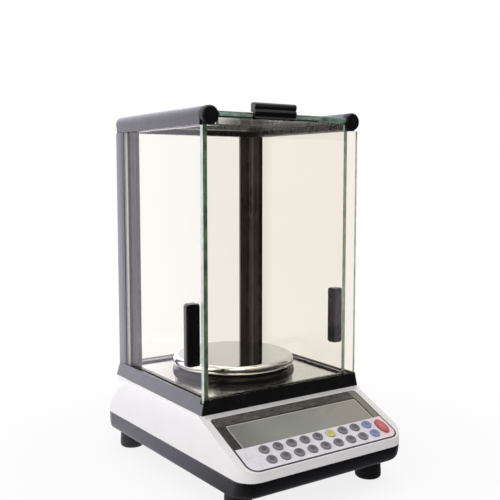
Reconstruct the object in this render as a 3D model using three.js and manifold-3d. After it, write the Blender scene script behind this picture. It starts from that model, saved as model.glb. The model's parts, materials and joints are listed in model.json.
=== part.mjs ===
// Electronic precision balance with a glass draught shield.
// Millimetres, +Z up, the front towards -Y and the right side towards +X.
// The origin lies on the table, at the centre of the housing's outline.

import * as THREE from 'three';
import { mergeVertices } from 'three/addons/utils/BufferGeometryUtils.js';
import Module from 'manifold-3d';

const wasm = await Module();
wasm.setup();

// The whole balance
const housingHalfWidth = 93.3;
const housingHalfDepth = 129.5;
const overallHeight = 339.2;

// General clearances
const seatGap = 0.3;
const slideGap = 0.3;
const overrun = 5;

// Fineness of round stretches, in steps
const cornerSteps = 6;
const smallCornerSteps = 3;
const panSteps = 48;
const footSteps = 28;
const capSteps = 24;
const keySteps = 12;
const holeSteps = 16;
const boreSteps = 20;

// Housing
const housingBottom = 20.8;
const trayHeight = 16.9;
const housingHeight = 55.6;
const housingTaper = 5.3;
const housingCorner = 17;
const housingRearCorner = 24;
const housingWall = 2.5;
const crownLift = 1.6;
const rearCrown = 24;
const cornerCrown = 30;
const crownLevelShares = [0, 0.22, 0.4, 0.56, 0.7, 0.8, 0.88, 0.94, 0.98, 1];
const splitStep = 1;
const seatCorner = 3;
const seatFrontLedge = 1.8;
const seatRearLedge = 2.2;
const seatSideMargin = 0.5;

// How far the shield stands in from the housing's sides, front and rear
const shieldSideSetback = 8.6;
const shieldFrontSetback = 66;
const shieldRearSetback = 26.1;
const seatSideSetback = 6.4;

// Lower tray: how far its levels stand in from the split line's outline
const traySideInset = 2.8;
const trayFrontInset = 13;
const trayLevelShares = [0, 0.04, 0.12, 0.25, 0.5, 1];
const traySideShares = [1, 0.5, 0.29, 0.18, 0.1, 0.03];
const trayFrontShares = [1, 0.73, 0.48, 0.28, 0.09, 0.01];
const bossRadius = 7;
const bossHeight = 12;

// Levelling feet
const footRadius = 12;
const footNeckRadius = 11.4;
const footEdge = 3;
const footSideSetback = 21.1;
const footFrontSetback = 33.4;
const footRearSetback = 26.8;
const footStudRadius = 4;
const footStudLength = 11;
const footStudGap = 0.4;

// Sloped panel and what lies on it, measured down the slope from its upper edge
const panelSideSetback = 12.5;
const panelTopDrop = 3.5;
const panelTopStep = 0.8;
const panelFootRise = 7.9;
const panelFootMargin = 1.4;
const panelCorner = 10;
const panelTopCorner = 3;
const panelThickness = 1.2;
const panelProud = 0.2;
const windowSideMargin = 7.8;
const windowTop = 9.5;
const windowFoot = 40;
const windowCorner = 2;
const windowThickness = 0.9;
const windowLedge = 2.5;

// Keys
const keyColumns = 9;
const firstKeyMargin = 25.6;
const tallKeyMargin = 9.9;
const tallKeySpacing = 13.3;
const keyWidthShare = 0.667;
const keyHeightShare = 0.75;
const keyRowShares = [0, 1];
const keyUpperRow = 46.5;
const keyRowPitch = 12;
const tallKeyWidth = 10;
const tallKeyHeight = 17.7;
const tallKeyPlace = 52.6;
const keyProud = 1.3;
const keyDome = 0.7;
const keyFlange = 0.8;
const keyFlangeThickness = 1;
const keyStemWidth = 4;
const keyTravel = 0.5;
const keyStemFoot = 9.8;
const keyBayMargin = 1.3;

// Display and boards
const lcdSideMargin = 6;
const lcdTop = 13.5;
const lcdFoot = 36;
const boardThickness = 1.6;
const displayBoardDepth = 12.8;
const displayBoardSetback = 10.1;
const displayBoardFoot = 62.5;
const boardPostRadius = 3;
const boardPostInset = 3.5;
const mainBoardRise = 5.4;
const mainBoardCellGap = 3;
const mainBoardSideSetback = 15.3;
const mainBoardFrontGap = 31.1;
const mainBoardRearGap = 57.7;
const mainBoardLeg = 3;
const boardChipWidth = 12;
const boardChipHeight = 2;
const boardCapRadius = 5;
const boardCapHeight = 11;

// Shield base
const baseHeight = 13;
const baseFlare = 2.7;
const baseFrontFlare = 0.6;
const baseCorner = 1.2;
const baseWindowMargin = 4;
const baseWindowFrontMargin = 3.5;
const baseWindowRearMargin = 14.4;
const baseLedgeWidth = 4;
const baseRearLedgeWidth = 3;
const grooveDepth = 3.8;

// Glass
const glassThickness = 4;
const frontGlassSideMargin = 0.7;
const frontGlassSetback = 1;
const rearGlassThickness = 3;
const rearFlangeThickness = 2.6;
const doorFrontGap = 0.6;
const doorRearGap = 1.3;
const rightDoorOpen = 9;
const topPaneThickness = 5.5;
const topPaneDrop = 1.7;
const topPaneProud = 0.7;
const topPaneGrip = 2.8;

// Rear posts with the flange behind the rear pane, and the guide strips outside the doors' slots
const postWidth = 8.7;
const postDepth = 14;
const postCorner = 1.6;
const postGrip = 3;
const postFlangeReach = 9.2;
const guideWidth = 2.1;
const guideSlant = 1.3;
const guideSlantDepth = 5;

// Top rails and their caps
const railSideSetback = 7.7;
const railTopDrop = 12;
const railRadius = 8;
const railFootHalfWidth = 7.4;
const railFootCorner = 1;
const railFrontGap = 0.5;
const railRearCap = 2.4;
const railRearCapDome = 1.4;
const frontCapRadius = 8.1;
const frontCapLength = 6.7;
const frontCapEdge = 1.2;
const frontCapRib = 0.35;
const rearRailDepth = 11.4;
const rearRailHeight = 5.9;

// Door handles
const gripBaseDepth = 11.8;
const gripFaceDepth = 7.6;
const gripProud = 11.2;
const gripLength = 54;
const gripEdge = 1.5;
const leftGripSetback = 11;
const rightGripSetback = 18.4;
const leftGripRise = 53.6;
const rightGripRise = 51.3;

// Top door handle
const clipWidth = 44;
const clipX = -14;
const clipProud = 4.5;
const clipGrip = 2.7;
const clipLip = 0.8;
const clipEdge = 1.2;
const clipRib = 1;
const clipRibShares = [0.1, 0.16, 0.4, 0.47, 0.6, 0.66, 0.74];

// Pan, collar, floor plate and pan support
const panX = 0;
const panSetback = 4.2;
const panRadiusShare = 0.8056;
const panRise = 15.8;
const panDepth = 9.5;
const panWall = 1;
const panRoll = 4.6;
const panLipTurn = 4.2;
const collarMargin = 1;
const collarHeight = 5.9;
const collarWall = 1.2;
const collarTurn = 2.2;
const floorPlateDrop = 1.7;
const floorPlateThickness = 1.5;
const stemRadius = 6;
const stemHoleGap = 3;
const spiderMargin = 12;
const spiderArmWidth = 8;
const spiderThickness = 3;
const spiderHubRadius = 15;

// Load cell
const cellWidth = 30;
const cellHeight = 22;
const cellTopDrop = 11.7;
const cellFrontReach = 15.2;
const cellRearSetback = 23.5;
const cellBoreRadius = 6.5;
const cellBoreSpread = 10;
const cellBoreShare = 0.52;
const cellSlotHeight = 5;
const cellBaseDepth = 26;
const stemFootRadius = 11;
const stemFootHeight = 4;

// Sockets at the back
const socketDrop = 21.7;
const inletX = -42;
const inletWidth = 16;
const inletHeight = 13;
const inletDepth = 14;
const inletBoreRadius = 4.2;
const inletBoreDepth = 9;
const inletPinRadius = 1.1;
const portX = 30;
const portWidth = 32;
const portHeight = 13;
const portDepth = 10;
const portMouthWidth = 17;
const portMouthHeight = 8.5;
const portMouthSlant = 1.2;
const portMouthProud = 2.6;
const portFaceDepth = 0.5;
const portMouthWall = 0.8;
const socketRecess = 0.6;

// Heights that follow from the sizes above
const splitHeight = housingBottom + trayHeight;
const housingTop = housingBottom + housingHeight;
const crownStart = splitHeight + crownLift;
const trayFloor = housingBottom + housingWall;
const baseTop = housingTop + baseHeight;
const floorPlateTop = baseTop - floorPlateDrop;
const floorPlateBottom = floorPlateTop - floorPlateThickness;
const panTop = floorPlateTop + panRise;
const panBottom = panTop - panDepth;
const railCentreZ = overallHeight - railTopDrop;
const railBottom = railCentreZ - railRadius;
const topPaneBottom = railCentreZ - topPaneDrop;
const topPaneTop = topPaneBottom + topPaneThickness;
const clipTop = overallHeight;
const clipBottom = topPaneBottom - clipLip;
const doorBottom = baseTop - grooveDepth + seatGap;
const doorTop = railBottom + grooveDepth;
const cellTop = housingTop - cellTopDrop;
const cellBottom = cellTop - cellHeight;
const mainBoardHeight = trayFloor + mainBoardRise;
const socketHeight = housingTop - socketDrop;

// Places from side to side
const housingFrontHalfWidth = housingHalfWidth - housingTaper;
const seatHalfWidth = housingHalfWidth - seatSideSetback;
const crownTopHalfWidth = seatHalfWidth + seatSideMargin;
const shieldHalfWidth = housingHalfWidth - shieldSideSetback;
const footSpreadX = housingHalfWidth - footSideSetback;
const doorOuterX = shieldHalfWidth - guideWidth - 2 * slideGap;
const doorInnerX = doorOuterX - glassThickness;
const postOuterX = doorInnerX - 2 * slideGap;
const postInnerX = postOuterX - postWidth;
const railCentreX = shieldHalfWidth - railSideSetback;
const baseWindowHalfWidth = doorInnerX - baseWindowMargin;
const baseLedgeHalfWidth = baseWindowHalfWidth - baseLedgeWidth;
const frontGlassHalfWidth = shieldHalfWidth - frontGlassSideMargin;
const displayBoardHalfWidth = housingHalfWidth - displayBoardSetback;

// Places from front to rear
const shieldFront = shieldFrontSetback - housingHalfDepth;
const shieldRear = housingHalfDepth - shieldRearSetback;
const seatFront = shieldFront - seatFrontLedge;
const seatRear = shieldRear + seatRearLedge;
const footFrontY = footFrontSetback - housingHalfDepth;
const footRearY = housingHalfDepth - footRearSetback;
const frontGlassY = shieldFront + frontGlassSetback;
const frontGlassRear = frontGlassY + glassThickness;
const rearGlassY = shieldRear - rearFlangeThickness - seatGap - rearGlassThickness;
const postFront = shieldRear - postDepth;
const doorFront = frontGlassRear + doorFrontGap;
const doorLength = postFront - doorRearGap - doorFront;
const railFront = frontGlassRear + railFrontGap;
const rearRailFront = shieldRear - rearRailDepth;
const baseWindowFront = frontGlassRear + baseWindowFrontMargin;
const baseWindowRear = shieldRear - baseWindowRearMargin;
const baseLedgeFront = baseWindowFront + baseLedgeWidth;
const baseLedgeRear = baseWindowRear - baseRearLedgeWidth;
const topPaneFront = shieldFront - topPaneProud;
const clipFront = topPaneFront - clipProud;
const clipRear = topPaneFront + clipGrip;

// The pan, at home in the base's window, and the load cell behind its stem
const baseWindowHalfDepth = (baseWindowRear - baseWindowFront) / 2;
const panY = baseWindowFront + baseWindowHalfDepth + panSetback;
const panRadius = panRadiusShare * Math.min(baseWindowHalfWidth, baseWindowHalfDepth);
const collarRadius = panRadius + collarMargin;
const spiderReach = panRadius - spiderMargin;
const cellFront = panY - cellFrontReach;
const cellLength = housingHalfDepth - cellRearSetback - cellFront;
const cellBoreY = cellFront + cellBoreShare * cellLength;

// The main board, to the right of the load cell
const mainBoardLeft = panX + cellWidth / 2 + mainBoardCellGap;
const mainBoardRight = housingHalfWidth - mainBoardSideSetback;
const mainBoardX = (mainBoardLeft + mainBoardRight) / 2;
const mainBoardWidth = mainBoardRight - mainBoardLeft;
const mainBoardFront = footFrontY + mainBoardFrontGap;
const mainBoardRear = footRearY - mainBoardRearGap;
const mainBoardY = (mainBoardFront + mainBoardRear) / 2;
const mainBoardDepth = mainBoardRear - mainBoardFront;

// The slope, its panel and the keys
const panelTopY = seatFront - panelTopStep;
const panelTopZ = housingTop - panelTopDrop;
const panelFootY = -housingHalfDepth;
const panelFootZ = splitHeight + panelFootRise;
const panelHalfWidth = housingHalfWidth - panelSideSetback;
const panelLength = Math.hypot(panelTopY - panelFootY, panelTopZ - panelFootZ) - panelFootMargin;
const slopeAngle = Math.atan2(panelTopZ - panelFootZ, panelTopY - panelFootY);
const recessDepth = panelThickness + seatGap - panelProud;
const windowHalfWidth = panelHalfWidth - windowSideMargin;
const lcdHalfWidth = windowHalfWidth - lcdSideMargin;
const keyFirstX = firstKeyMargin - panelHalfWidth;
const tallKeyX = panelHalfWidth - tallKeyMargin;
const keyPitch = (tallKeyX - tallKeySpacing - keyFirstX) / (keyColumns - 1);
const keyWidth = keyWidthShare * keyPitch;
const keyHeight = keyHeightShare * keyRowPitch;
const keyUnderside = panelProud - panelThickness;

// Colours
const white = 0xe9e7e6;
const black = 0x16161a;
const darkGrey = 0x2c2c32;
const keyGrey = 0x7c7a82;
const keyBlue = 0x6b7fb5;
const keyLime = 0xc9cc6a;
const keyRed = 0xd8605c;
const panelLilac = 0xddd8e0;
const glassGreen = 0xdfe8e0;
const steel = 0xd4d4d6;
const aluminium = 0xb4b6ba;
const boardGreen = 0x2f6a45;
const lcdGrey = 0x96988e;

const model = new THREE.Group();

// Names a finished geometry, gives it its finish and hangs it in a group
function addPiece(group, name, geometry, finish) {
  const skin = closed(geometry);
  skin.computeVertexNormals();
  const mesh = new THREE.Mesh(skin, new THREE.MeshStandardMaterial(finish));
  mesh.name = name;
  group.add(mesh);
  return mesh;
}

// Finishes
function plastic(color, roughness = 0.5) {
  return { color, roughness, metalness: 0 };
}

function metal(color, roughness = 0.35) {
  return { color, roughness, metalness: 1 };
}

function clearGlass() {
  return { color: glassGreen, roughness: 0.03, metalness: 0, transparent: true, opacity: 0.25 };
}

// Signed volume, which is negative when the faces point inwards
function signedVolume(geometry) {
  const at = geometry.getAttribute('position');
  const index = geometry.getIndex();
  const a = new THREE.Vector3();
  const b = new THREE.Vector3();
  const c = new THREE.Vector3();
  let six = 0;
  for (let i = 0; i < index.count; i += 3) {
    a.fromBufferAttribute(at, index.getX(i));
    b.fromBufferAttribute(at, index.getX(i + 1));
    c.fromBufferAttribute(at, index.getX(i + 2));
    six += a.dot(b.cross(c));
  }
  return six;
}

// Merges a geometry's shared corners and turns its faces outwards
function closed(geometry) {
  const bare = geometry.clone();
  bare.deleteAttribute('normal');
  bare.deleteAttribute('uv');
  const merged = mergeVertices(bare);
  if (signedVolume(merged) < 0) {
    const index = merged.getIndex();
    for (let i = 0; i < index.count; i += 3) {
      const second = index.getX(i + 1);
      index.setX(i + 1, index.getX(i + 2));
      index.setX(i + 2, second);
    }
  }
  return merged;
}

// A geometry as a solid that can be joined and cut
function solid(geometry) {
  const merged = closed(geometry);
  return new wasm.Manifold(new wasm.Mesh({
    numProp: 3,
    vertProperties: new Float32Array(merged.getAttribute('position').array),
    triVerts: new Uint32Array(merged.getIndex().array),
  }));
}

// A solid as a geometry again
function geometryOf(body) {
  const mesh = body.getMesh();
  const geometry = new THREE.BufferGeometry();
  geometry.setAttribute('position', new THREE.BufferAttribute(new Float32Array(mesh.vertProperties), 3));
  geometry.setIndex(new THREE.BufferAttribute(new Uint32Array(mesh.triVerts), 1));
  return geometry;
}

// A box between two corners
function block(x0, x1, y0, y1, z0, z1) {
  const geometry = new THREE.BoxGeometry(x1 - x0, y1 - y0, z1 - z0);
  geometry.translate((x0 + x1) / 2, (y0 + y1) / 2, (z0 + z1) / 2);
  return geometry;
}

// A flat outline raised along Z from one height to another
function raised(shape, z0, z1, curveSegments = smallCornerSteps) {
  const geometry = new THREE.ExtrudeGeometry(shape, {
    depth: z1 - z0,
    bevelEnabled: false,
    curveSegments,
  });
  geometry.translate(0, 0, z0);
  return geometry;
}

// A section drawn with its first axis along Y and its second along Z, run along X
function runAlongX(shape, x0, x1, curveSegments = smallCornerSteps) {
  const geometry = raised(shape, x0, x1, curveSegments);
  geometry.applyMatrix4(new THREE.Matrix4().makeBasis(
    new THREE.Vector3(0, 1, 0),
    new THREE.Vector3(0, 0, 1),
    new THREE.Vector3(1, 0, 0),
  ));
  return geometry;
}

// A section drawn with its first axis along X and its second along Z, run along Y
function runAlongY(shape, y0, y1, curveSegments = smallCornerSteps) {
  const geometry = raised(shape, -y1, -y0, curveSegments);
  geometry.applyMatrix4(new THREE.Matrix4().makeBasis(
    new THREE.Vector3(1, 0, 0),
    new THREE.Vector3(0, 0, 1),
    new THREE.Vector3(0, -1, 0),
  ));
  return geometry;
}

// A profile of radius and height turned about a vertical axis
function turned(points, steps, x = 0, y = 0) {
  const geometry = new THREE.LatheGeometry(points.map(([r, z]) => new THREE.Vector2(r, z)), steps);
  geometry.rotateX(Math.PI / 2);
  geometry.translate(x, y, 0);
  return geometry;
}

// A round bar along Z, used for bores and pins
function roundBar(radius, z0, z1, x, y, steps = boreSteps) {
  return turned([[0, z0], [radius, z0], [radius, z1], [0, z1]], steps, x, y);
}

// Points of an arc for a profile, from one angle to another in degrees
function arc(cx, cy, radius, from, to, steps = smallCornerSteps) {
  const points = [];
  for (let i = 0; i <= steps; i += 1) {
    const angle = THREE.MathUtils.degToRad(from + ((to - from) * i) / steps);
    points.push([cx + radius * Math.cos(angle), cy + radius * Math.sin(angle)]);
  }
  return points;
}

function shapeOf(points) {
  return new THREE.Shape(points.map(([x, y]) => new THREE.Vector2(x, y)));
}

// An outline with its own half width and corner radius at the front and at the rear
function taperedOutline(frontHalf, rearHalf, front, rear, frontCorner, rearCorner, steps = cornerSteps) {
  return [
    ...arc(frontHalf - frontCorner, front + frontCorner, frontCorner, -90, 0, steps),
    ...arc(rearHalf - rearCorner, rear - rearCorner, rearCorner, 0, 90, steps),
    ...arc(rearCorner - rearHalf, rear - rearCorner, rearCorner, 90, 180, steps),
    ...arc(frontCorner - frontHalf, front + frontCorner, frontCorner, 180, 270, steps),
  ];
}

// A rectangle with one radius at all its corners
function roundedOutline(halfWidth, front, rear, corner, steps = smallCornerSteps) {
  return taperedOutline(halfWidth, halfWidth, front, rear, corner, corner, steps);
}

// A closed skin over outlines of equal count stacked at their heights, lowest first
function loft(levels) {
  const count = levels[0].points.length;
  const corners = [];
  const faces = [];
  for (const level of levels) {
    for (const [x, y] of level.points) {
      corners.push(x, y, level.z);
    }
  }
  for (let k = 0; k + 1 < levels.length; k += 1) {
    for (let i = 0; i < count; i += 1) {
      const a = k * count + i;
      const b = k * count + ((i + 1) % count);
      faces.push(a, b, b + count, a, b + count, a + count);
    }
  }
  const last = (levels.length - 1) * count;
  for (let i = 1; i + 1 < count; i += 1) {
    faces.push(0, i + 1, i);
    faces.push(last, last + i, last + i + 1);
  }
  const geometry = new THREE.BufferGeometry();
  geometry.setAttribute('position', new THREE.Float32BufferAttribute(corners, 3));
  geometry.setIndex(faces);
  return geometry;
}

// Upper housing: a crowned moulding, its slope, the raised seat of the shield and the openings
function crown(share) {
  return 1 - Math.sqrt(1 - share * share);
}

function crownedBody(inset, bottom, top) {
  const height = top - crownStart;
  const levels = crownLevelShares.map((share) => {
    const rise = crown(share);
    const lean = (halfWidth) => halfWidth - inset - (halfWidth - crownTopHalfWidth) * rise;
    return {
      z: crownStart + share * height,
      points: taperedOutline(
        lean(housingFrontHalfWidth),
        lean(housingHalfWidth),
        inset - housingHalfDepth,
        housingHalfDepth - inset - rearCrown * rise,
        housingCorner - inset,
        housingRearCorner - inset + cornerCrown * rise,
      ),
    };
  });
  return loft([{ z: bottom, points: levels[0].points }, ...levels]);
}

// Everything above the slope, which lies this deep below the panel's face
function aboveSlope(depth, halfWidth, from, to, lift) {
  const along = new THREE.Vector2(Math.cos(slopeAngle), Math.sin(slopeAngle));
  const outward = new THREE.Vector2(-Math.sin(slopeAngle), Math.cos(slopeAngle));
  const at = (place, height) => [
    panelTopY - along.x * place + outward.x * height,
    panelTopZ - along.y * place + outward.y * height,
  ];
  return runAlongX(
    shapeOf([at(from, -depth), at(from, lift), at(to, lift), at(to, -depth)]),
    -halfWidth,
    halfWidth,
  );
}

// The panel's own frame: x to the right, y up the slope, z out of it
const panelFrame = new THREE.Group();
panelFrame.position.set(0, panelTopY, panelTopZ);
panelFrame.rotation.x = slopeAngle;
model.add(panelFrame);
panelFrame.updateMatrix();

function onPanel(geometry) {
  return geometry.clone().applyMatrix4(panelFrame.matrix);
}

const panelOutline = [
  ...arc(panelHalfWidth - panelTopCorner, -panelTopCorner, panelTopCorner, 0, 90),
  ...arc(panelTopCorner - panelHalfWidth, -panelTopCorner, panelTopCorner, 90, 180),
  ...arc(panelCorner - panelHalfWidth, panelCorner - panelLength, panelCorner, 180, 270, cornerSteps),
  ...arc(panelHalfWidth - panelCorner, panelCorner - panelLength, panelCorner, 270, 360, cornerSteps),
];

// The same outline, this much larger all round
function panelOutlineGrown(by) {
  return [
    ...arc(panelHalfWidth - panelTopCorner, -panelTopCorner, panelTopCorner + by, 0, 90),
    ...arc(panelTopCorner - panelHalfWidth, -panelTopCorner, panelTopCorner + by, 90, 180),
    ...arc(panelCorner - panelHalfWidth, panelCorner - panelLength, panelCorner + by, 180, 270, cornerSteps),
    ...arc(panelHalfWidth - panelCorner, panelCorner - panelLength, panelCorner + by, 270, 360, cornerSteps),
  ];
}

const keyPlaces = [];
for (const row of keyRowShares) {
  for (let column = 0; column < keyColumns; column += 1) {
    keyPlaces.push({
      name: `key_${row === 0 ? 'upper' : 'lower'}_${column + 1}`,
      x: keyFirstX + keyPitch * column,
      place: keyUpperRow + keyRowPitch * row,
      width: keyWidth,
      height: keyHeight,
      color: column === keyColumns - 1 ? keyBlue : keyGrey,
    });
  }
}
const limeColumn = 5;
keyPlaces[limeColumn].color = keyLime;
keyPlaces.push({
  name: 'key_tall_red',
  x: tallKeyX,
  place: tallKeyPlace,
  width: tallKeyWidth,
  height: tallKeyHeight,
  color: keyRed,
});

const keyBay = {
  left: keyFirstX - keyWidth / 2 - keyFlange - keyBayMargin,
  right: tallKeyX + tallKeyWidth / 2 + keyFlange + keyBayMargin,
  top: keyUpperRow - keyHeight / 2 - keyFlange - seatGap,
  foot: keyUpperRow + keyRowPitch + keyHeight / 2 + keyFlange + keyBayMargin,
};
const bayReach = recessDepth + housingWall + overrun;

function upperHousing() {
  let body = solid(crownedBody(0, splitHeight, housingTop));
  const reach = housingHalfWidth + overrun;
  const slopeRun = panelLength + housingHalfDepth;
  body = body.subtract(solid(aboveSlope(0, reach, -overrun * 2, slopeRun, housingTop)));
  const seat = roundedOutline(seatHalfWidth, seatFront, seatRear, seatCorner);
  body = body.add(solid(raised(shapeOf(seat), crownStart, housingTop)));

  let hollow = solid(crownedBody(housingWall, splitHeight - overrun, housingTop - housingWall));
  const depth = recessDepth + housingWall;
  hollow = hollow.subtract(solid(aboveSlope(depth, reach, -overrun * 2, slopeRun, housingTop)));
  body = body.subtract(hollow);

  const recess = raised(shapeOf(panelOutlineGrown(seatGap)), -recessDepth, overrun);
  body = body.subtract(solid(onPanel(recess)));
  const windowHole = block(
    windowLedge - windowHalfWidth,
    windowHalfWidth - windowLedge,
    windowLedge - windowFoot,
    -windowTop - windowLedge,
    -bayReach,
    overrun,
  );
  body = body.subtract(solid(onPanel(windowHole)));
  const keyHole = block(keyBay.left, keyBay.right, -keyBay.foot, -keyBay.top, -bayReach, overrun);
  body = body.subtract(solid(onPanel(keyHole)));

  for (const x of [boardPostInset - displayBoardHalfWidth, displayBoardHalfWidth - boardPostInset]) {
    for (const place of [lcdTop + boardPostInset, displayBoardFoot - boardPostInset]) {
      const postFoot = seatGap - displayBoardDepth;
      const post = roundBar(boardPostRadius, postFoot, -recessDepth - housingWall / 2, x, -place);
      body = body.add(solid(onPanel(post)));
    }
  }

  const stemHole = roundBar(
    stemRadius + stemHoleGap,
    housingTop - housingWall - overrun,
    housingTop + overrun,
    panX,
    panY,
  );
  body = body.subtract(solid(stemHole));
  const rear = housingHalfDepth;
  for (const [x, width, height] of [[inletX, inletWidth, inletHeight], [portX, portWidth, portHeight]]) {
    const opening = block(
      x - width / 2 - seatGap,
      x + width / 2 + seatGap,
      rear - rearCrown,
      rear + overrun,
      socketHeight - height / 2 - seatGap,
      socketHeight + height / 2 + seatGap,
    );
    body = body.subtract(solid(opening));
  }
  return geometryOf(body);
}

// Lower tray with its rounded underside and a boss over each foot
const feetPlaces = [
  ['foot_front_left', -footSpreadX, footFrontY],
  ['foot_front_right', footSpreadX, footFrontY],
  ['foot_rear_left', -footSpreadX, footRearY],
  ['foot_rear_right', footSpreadX, footRearY],
];

function trayBody(inset, bottom, top) {
  return loft(trayLevelShares.map((share, i) => {
    const stand = inset + traySideInset * traySideShares[i];
    return {
      z: bottom + share * (top - bottom),
      points: taperedOutline(
        housingFrontHalfWidth - stand,
        housingHalfWidth - stand,
        inset + trayFrontInset * trayFrontShares[i] - housingHalfDepth,
        housingHalfDepth - stand,
        housingCorner - stand,
        housingRearCorner - stand,
      ),
    };
  }));
}

function lowerHousing() {
  let body = solid(trayBody(0, housingBottom, splitHeight));
  body = body.subtract(solid(trayBody(housingWall, trayFloor, splitHeight + splitStep)));
  for (const [, x, y] of feetPlaces) {
    body = body.add(solid(roundBar(bossRadius, trayFloor - splitStep, trayFloor + bossHeight, x, y)));
  }
  for (const [, x, y] of feetPlaces) {
    const bore = roundBar(
      footStudRadius + footStudGap,
      housingBottom - overrun,
      trayFloor + bossHeight + overrun,
      x,
      y,
      holeSteps,
    );
    body = body.subtract(solid(bore));
  }
  return geometryOf(body);
}

addPiece(model, 'upper_housing', upperHousing(), plastic(white, 0.4));
addPiece(model, 'lower_housing', lowerHousing(), plastic(black, 0.45));

// Levelling feet: a pad with a rounded edge, turned in one piece with its stud
function foot(x, y) {
  const top = housingBottom - seatGap;
  return turned([
    [0, 0],
    ...arc(footRadius - footEdge, footEdge, footEdge, -90, 0),
    [footNeckRadius, top],
    [footStudRadius, top],
    [footStudRadius, top + footStudLength],
    [0, top + footStudLength],
  ], footSteps, x, y);
}

for (const [name, x, y] of feetPlaces) {
  addPiece(model, name, foot(x, y), plastic(black, 0.6));
}

// Front panel: the sheet on the slope, open at the window and round every key
function ellipse(width, height, steps) {
  const points = [];
  for (let i = 0; i < steps; i += 1) {
    const angle = (2 * Math.PI * i) / steps;
    points.push([(width / 2) * Math.cos(angle), (height / 2) * Math.sin(angle)]);
  }
  return points;
}

function shifted(points, x, y) {
  return points.map(([px, py]) => [px + x, py + y]);
}

function rectangle(halfWidth, foot, top, corner) {
  return [
    ...arc(halfWidth - corner, foot + corner, corner, -90, 0, smallCornerSteps),
    ...arc(halfWidth - corner, top - corner, corner, 0, 90, smallCornerSteps),
    ...arc(corner - halfWidth, top - corner, corner, 90, 180, smallCornerSteps),
    ...arc(corner - halfWidth, foot + corner, corner, 180, 270, smallCornerSteps),
  ];
}

function pathOf(points) {
  return new THREE.Path(points.map(([x, y]) => new THREE.Vector2(x, y)));
}

function frontPanel() {
  const sheet = shapeOf(panelOutline);
  sheet.holes.push(pathOf(rectangle(windowHalfWidth, -windowFoot, -windowTop, windowCorner)));
  for (const key of keyPlaces) {
    const hole = ellipse(key.width + 2 * slideGap, key.height + 2 * slideGap, keySteps);
    sheet.holes.push(pathOf(shifted(hole, key.x, -key.place)));
  }
  return raised(sheet, panelProud - panelThickness, panelProud);
}

addPiece(panelFrame, 'front_panel', frontPanel(), plastic(panelLilac, 0.35));

function displayWindow() {
  const outline = rectangle(
    windowHalfWidth - seatGap,
    seatGap - windowFoot,
    -windowTop - seatGap,
    windowCorner - seatGap,
  );
  const bottom = seatGap - recessDepth;
  return raised(shapeOf(outline), bottom, bottom + windowThickness);
}

addPiece(panelFrame, 'display_window', displayWindow(), clearGlass());

// Keys: a domed oval cap, a flange under the sheet and a stem to its switch
function keyGeometry(key) {
  const ring = (shrink, z) => ({
    z,
    points: ellipse(key.width - shrink, key.height - shrink, keySteps),
  });
  const flangeTop = keyUnderside - seatGap;
  const flangeFoot = flangeTop - keyFlangeThickness;
  const stem = {
    width: keyStemWidth,
    height: keyStemWidth + key.height - keyHeight,
  };
  return loft([
    { z: -keyStemFoot, points: ellipse(stem.width, stem.height, keySteps) },
    { z: flangeFoot, points: ellipse(stem.width, stem.height, keySteps) },
    ring(-2 * keyFlange, flangeFoot),
    ring(-2 * keyFlange, flangeTop),
    ring(0, flangeTop),
    ring(0, panelProud + keyProud - keyDome),
    ring(keyDome, panelProud + keyProud - keyDome / 3),
    ring(3 * keyDome, panelProud + keyProud),
  ]);
}

for (const key of keyPlaces) {
  const mesh = addPiece(panelFrame, key.name, keyGeometry(key), plastic(key.color, 0.45));
  mesh.position.set(key.x, -key.place, 0);
}

// Display, its board and the switches under the keys
function lcdModule() {
  return block(
    -lcdHalfWidth,
    lcdHalfWidth,
    -lcdFoot,
    -lcdTop,
    seatGap - displayBoardDepth,
    -recessDepth - seatGap,
  );
}

function displayBoard() {
  const top = -displayBoardDepth;
  let body = solid(block(
    -displayBoardHalfWidth,
    displayBoardHalfWidth,
    -displayBoardFoot,
    -lcdTop,
    top - boardThickness,
    top,
  ));
  const switchTop = -keyStemFoot - keyTravel - seatGap;
  const half = keyStemWidth / 2;
  for (const key of keyPlaces) {
    body = body.add(solid(block(
      key.x - half,
      key.x + half,
      -key.place - half,
      half - key.place,
      top - boardThickness / 2,
      switchTop,
    )));
  }
  return geometryOf(body);
}

addPiece(panelFrame, 'lcd_module', lcdModule(), plastic(lcdGrey, 0.5));
addPiece(panelFrame, 'display_board', displayBoard(), plastic(boardGreen, 0.5));

// Main board on four legs, with its larger parts
function mainBoard() {
  const halfWidth = mainBoardWidth / 2;
  const halfDepth = mainBoardDepth / 2;
  const top = mainBoardHeight + boardThickness;
  let body = solid(block(
    mainBoardX - halfWidth,
    mainBoardX + halfWidth,
    mainBoardY - halfDepth,
    mainBoardY + halfDepth,
    mainBoardHeight,
    top,
  ));
  for (const sideX of [-1, 1]) {
    for (const sideY of [-1, 1]) {
      const x = mainBoardX + sideX * (halfWidth - 2 * mainBoardLeg);
      const y = mainBoardY + sideY * (halfDepth - 2 * mainBoardLeg);
      body = body.add(solid(roundBar(mainBoardLeg, trayFloor, top - boardThickness / 2, x, y, holeSteps)));
      body = body.add(solid(block(
        x - sideX * boardChipWidth - boardChipWidth / 2,
        x - sideX * boardChipWidth + boardChipWidth / 2,
        y - sideY * boardChipWidth - boardChipWidth,
        y - sideY * boardChipWidth + boardChipWidth,
        top - boardThickness / 2,
        top + boardChipHeight,
      )));
    }
    const capX = mainBoardX + sideX * boardCapRadius * 2;
    const capBottom = top - boardThickness / 2;
    const capTop = top + boardCapHeight;
    body = body.add(solid(roundBar(boardCapRadius, capBottom, capTop, capX, mainBoardY, holeSteps)));
  }
  return geometryOf(body);
}

addPiece(model, 'main_board', mainBoard(), plastic(boardGreen, 0.5));

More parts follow.
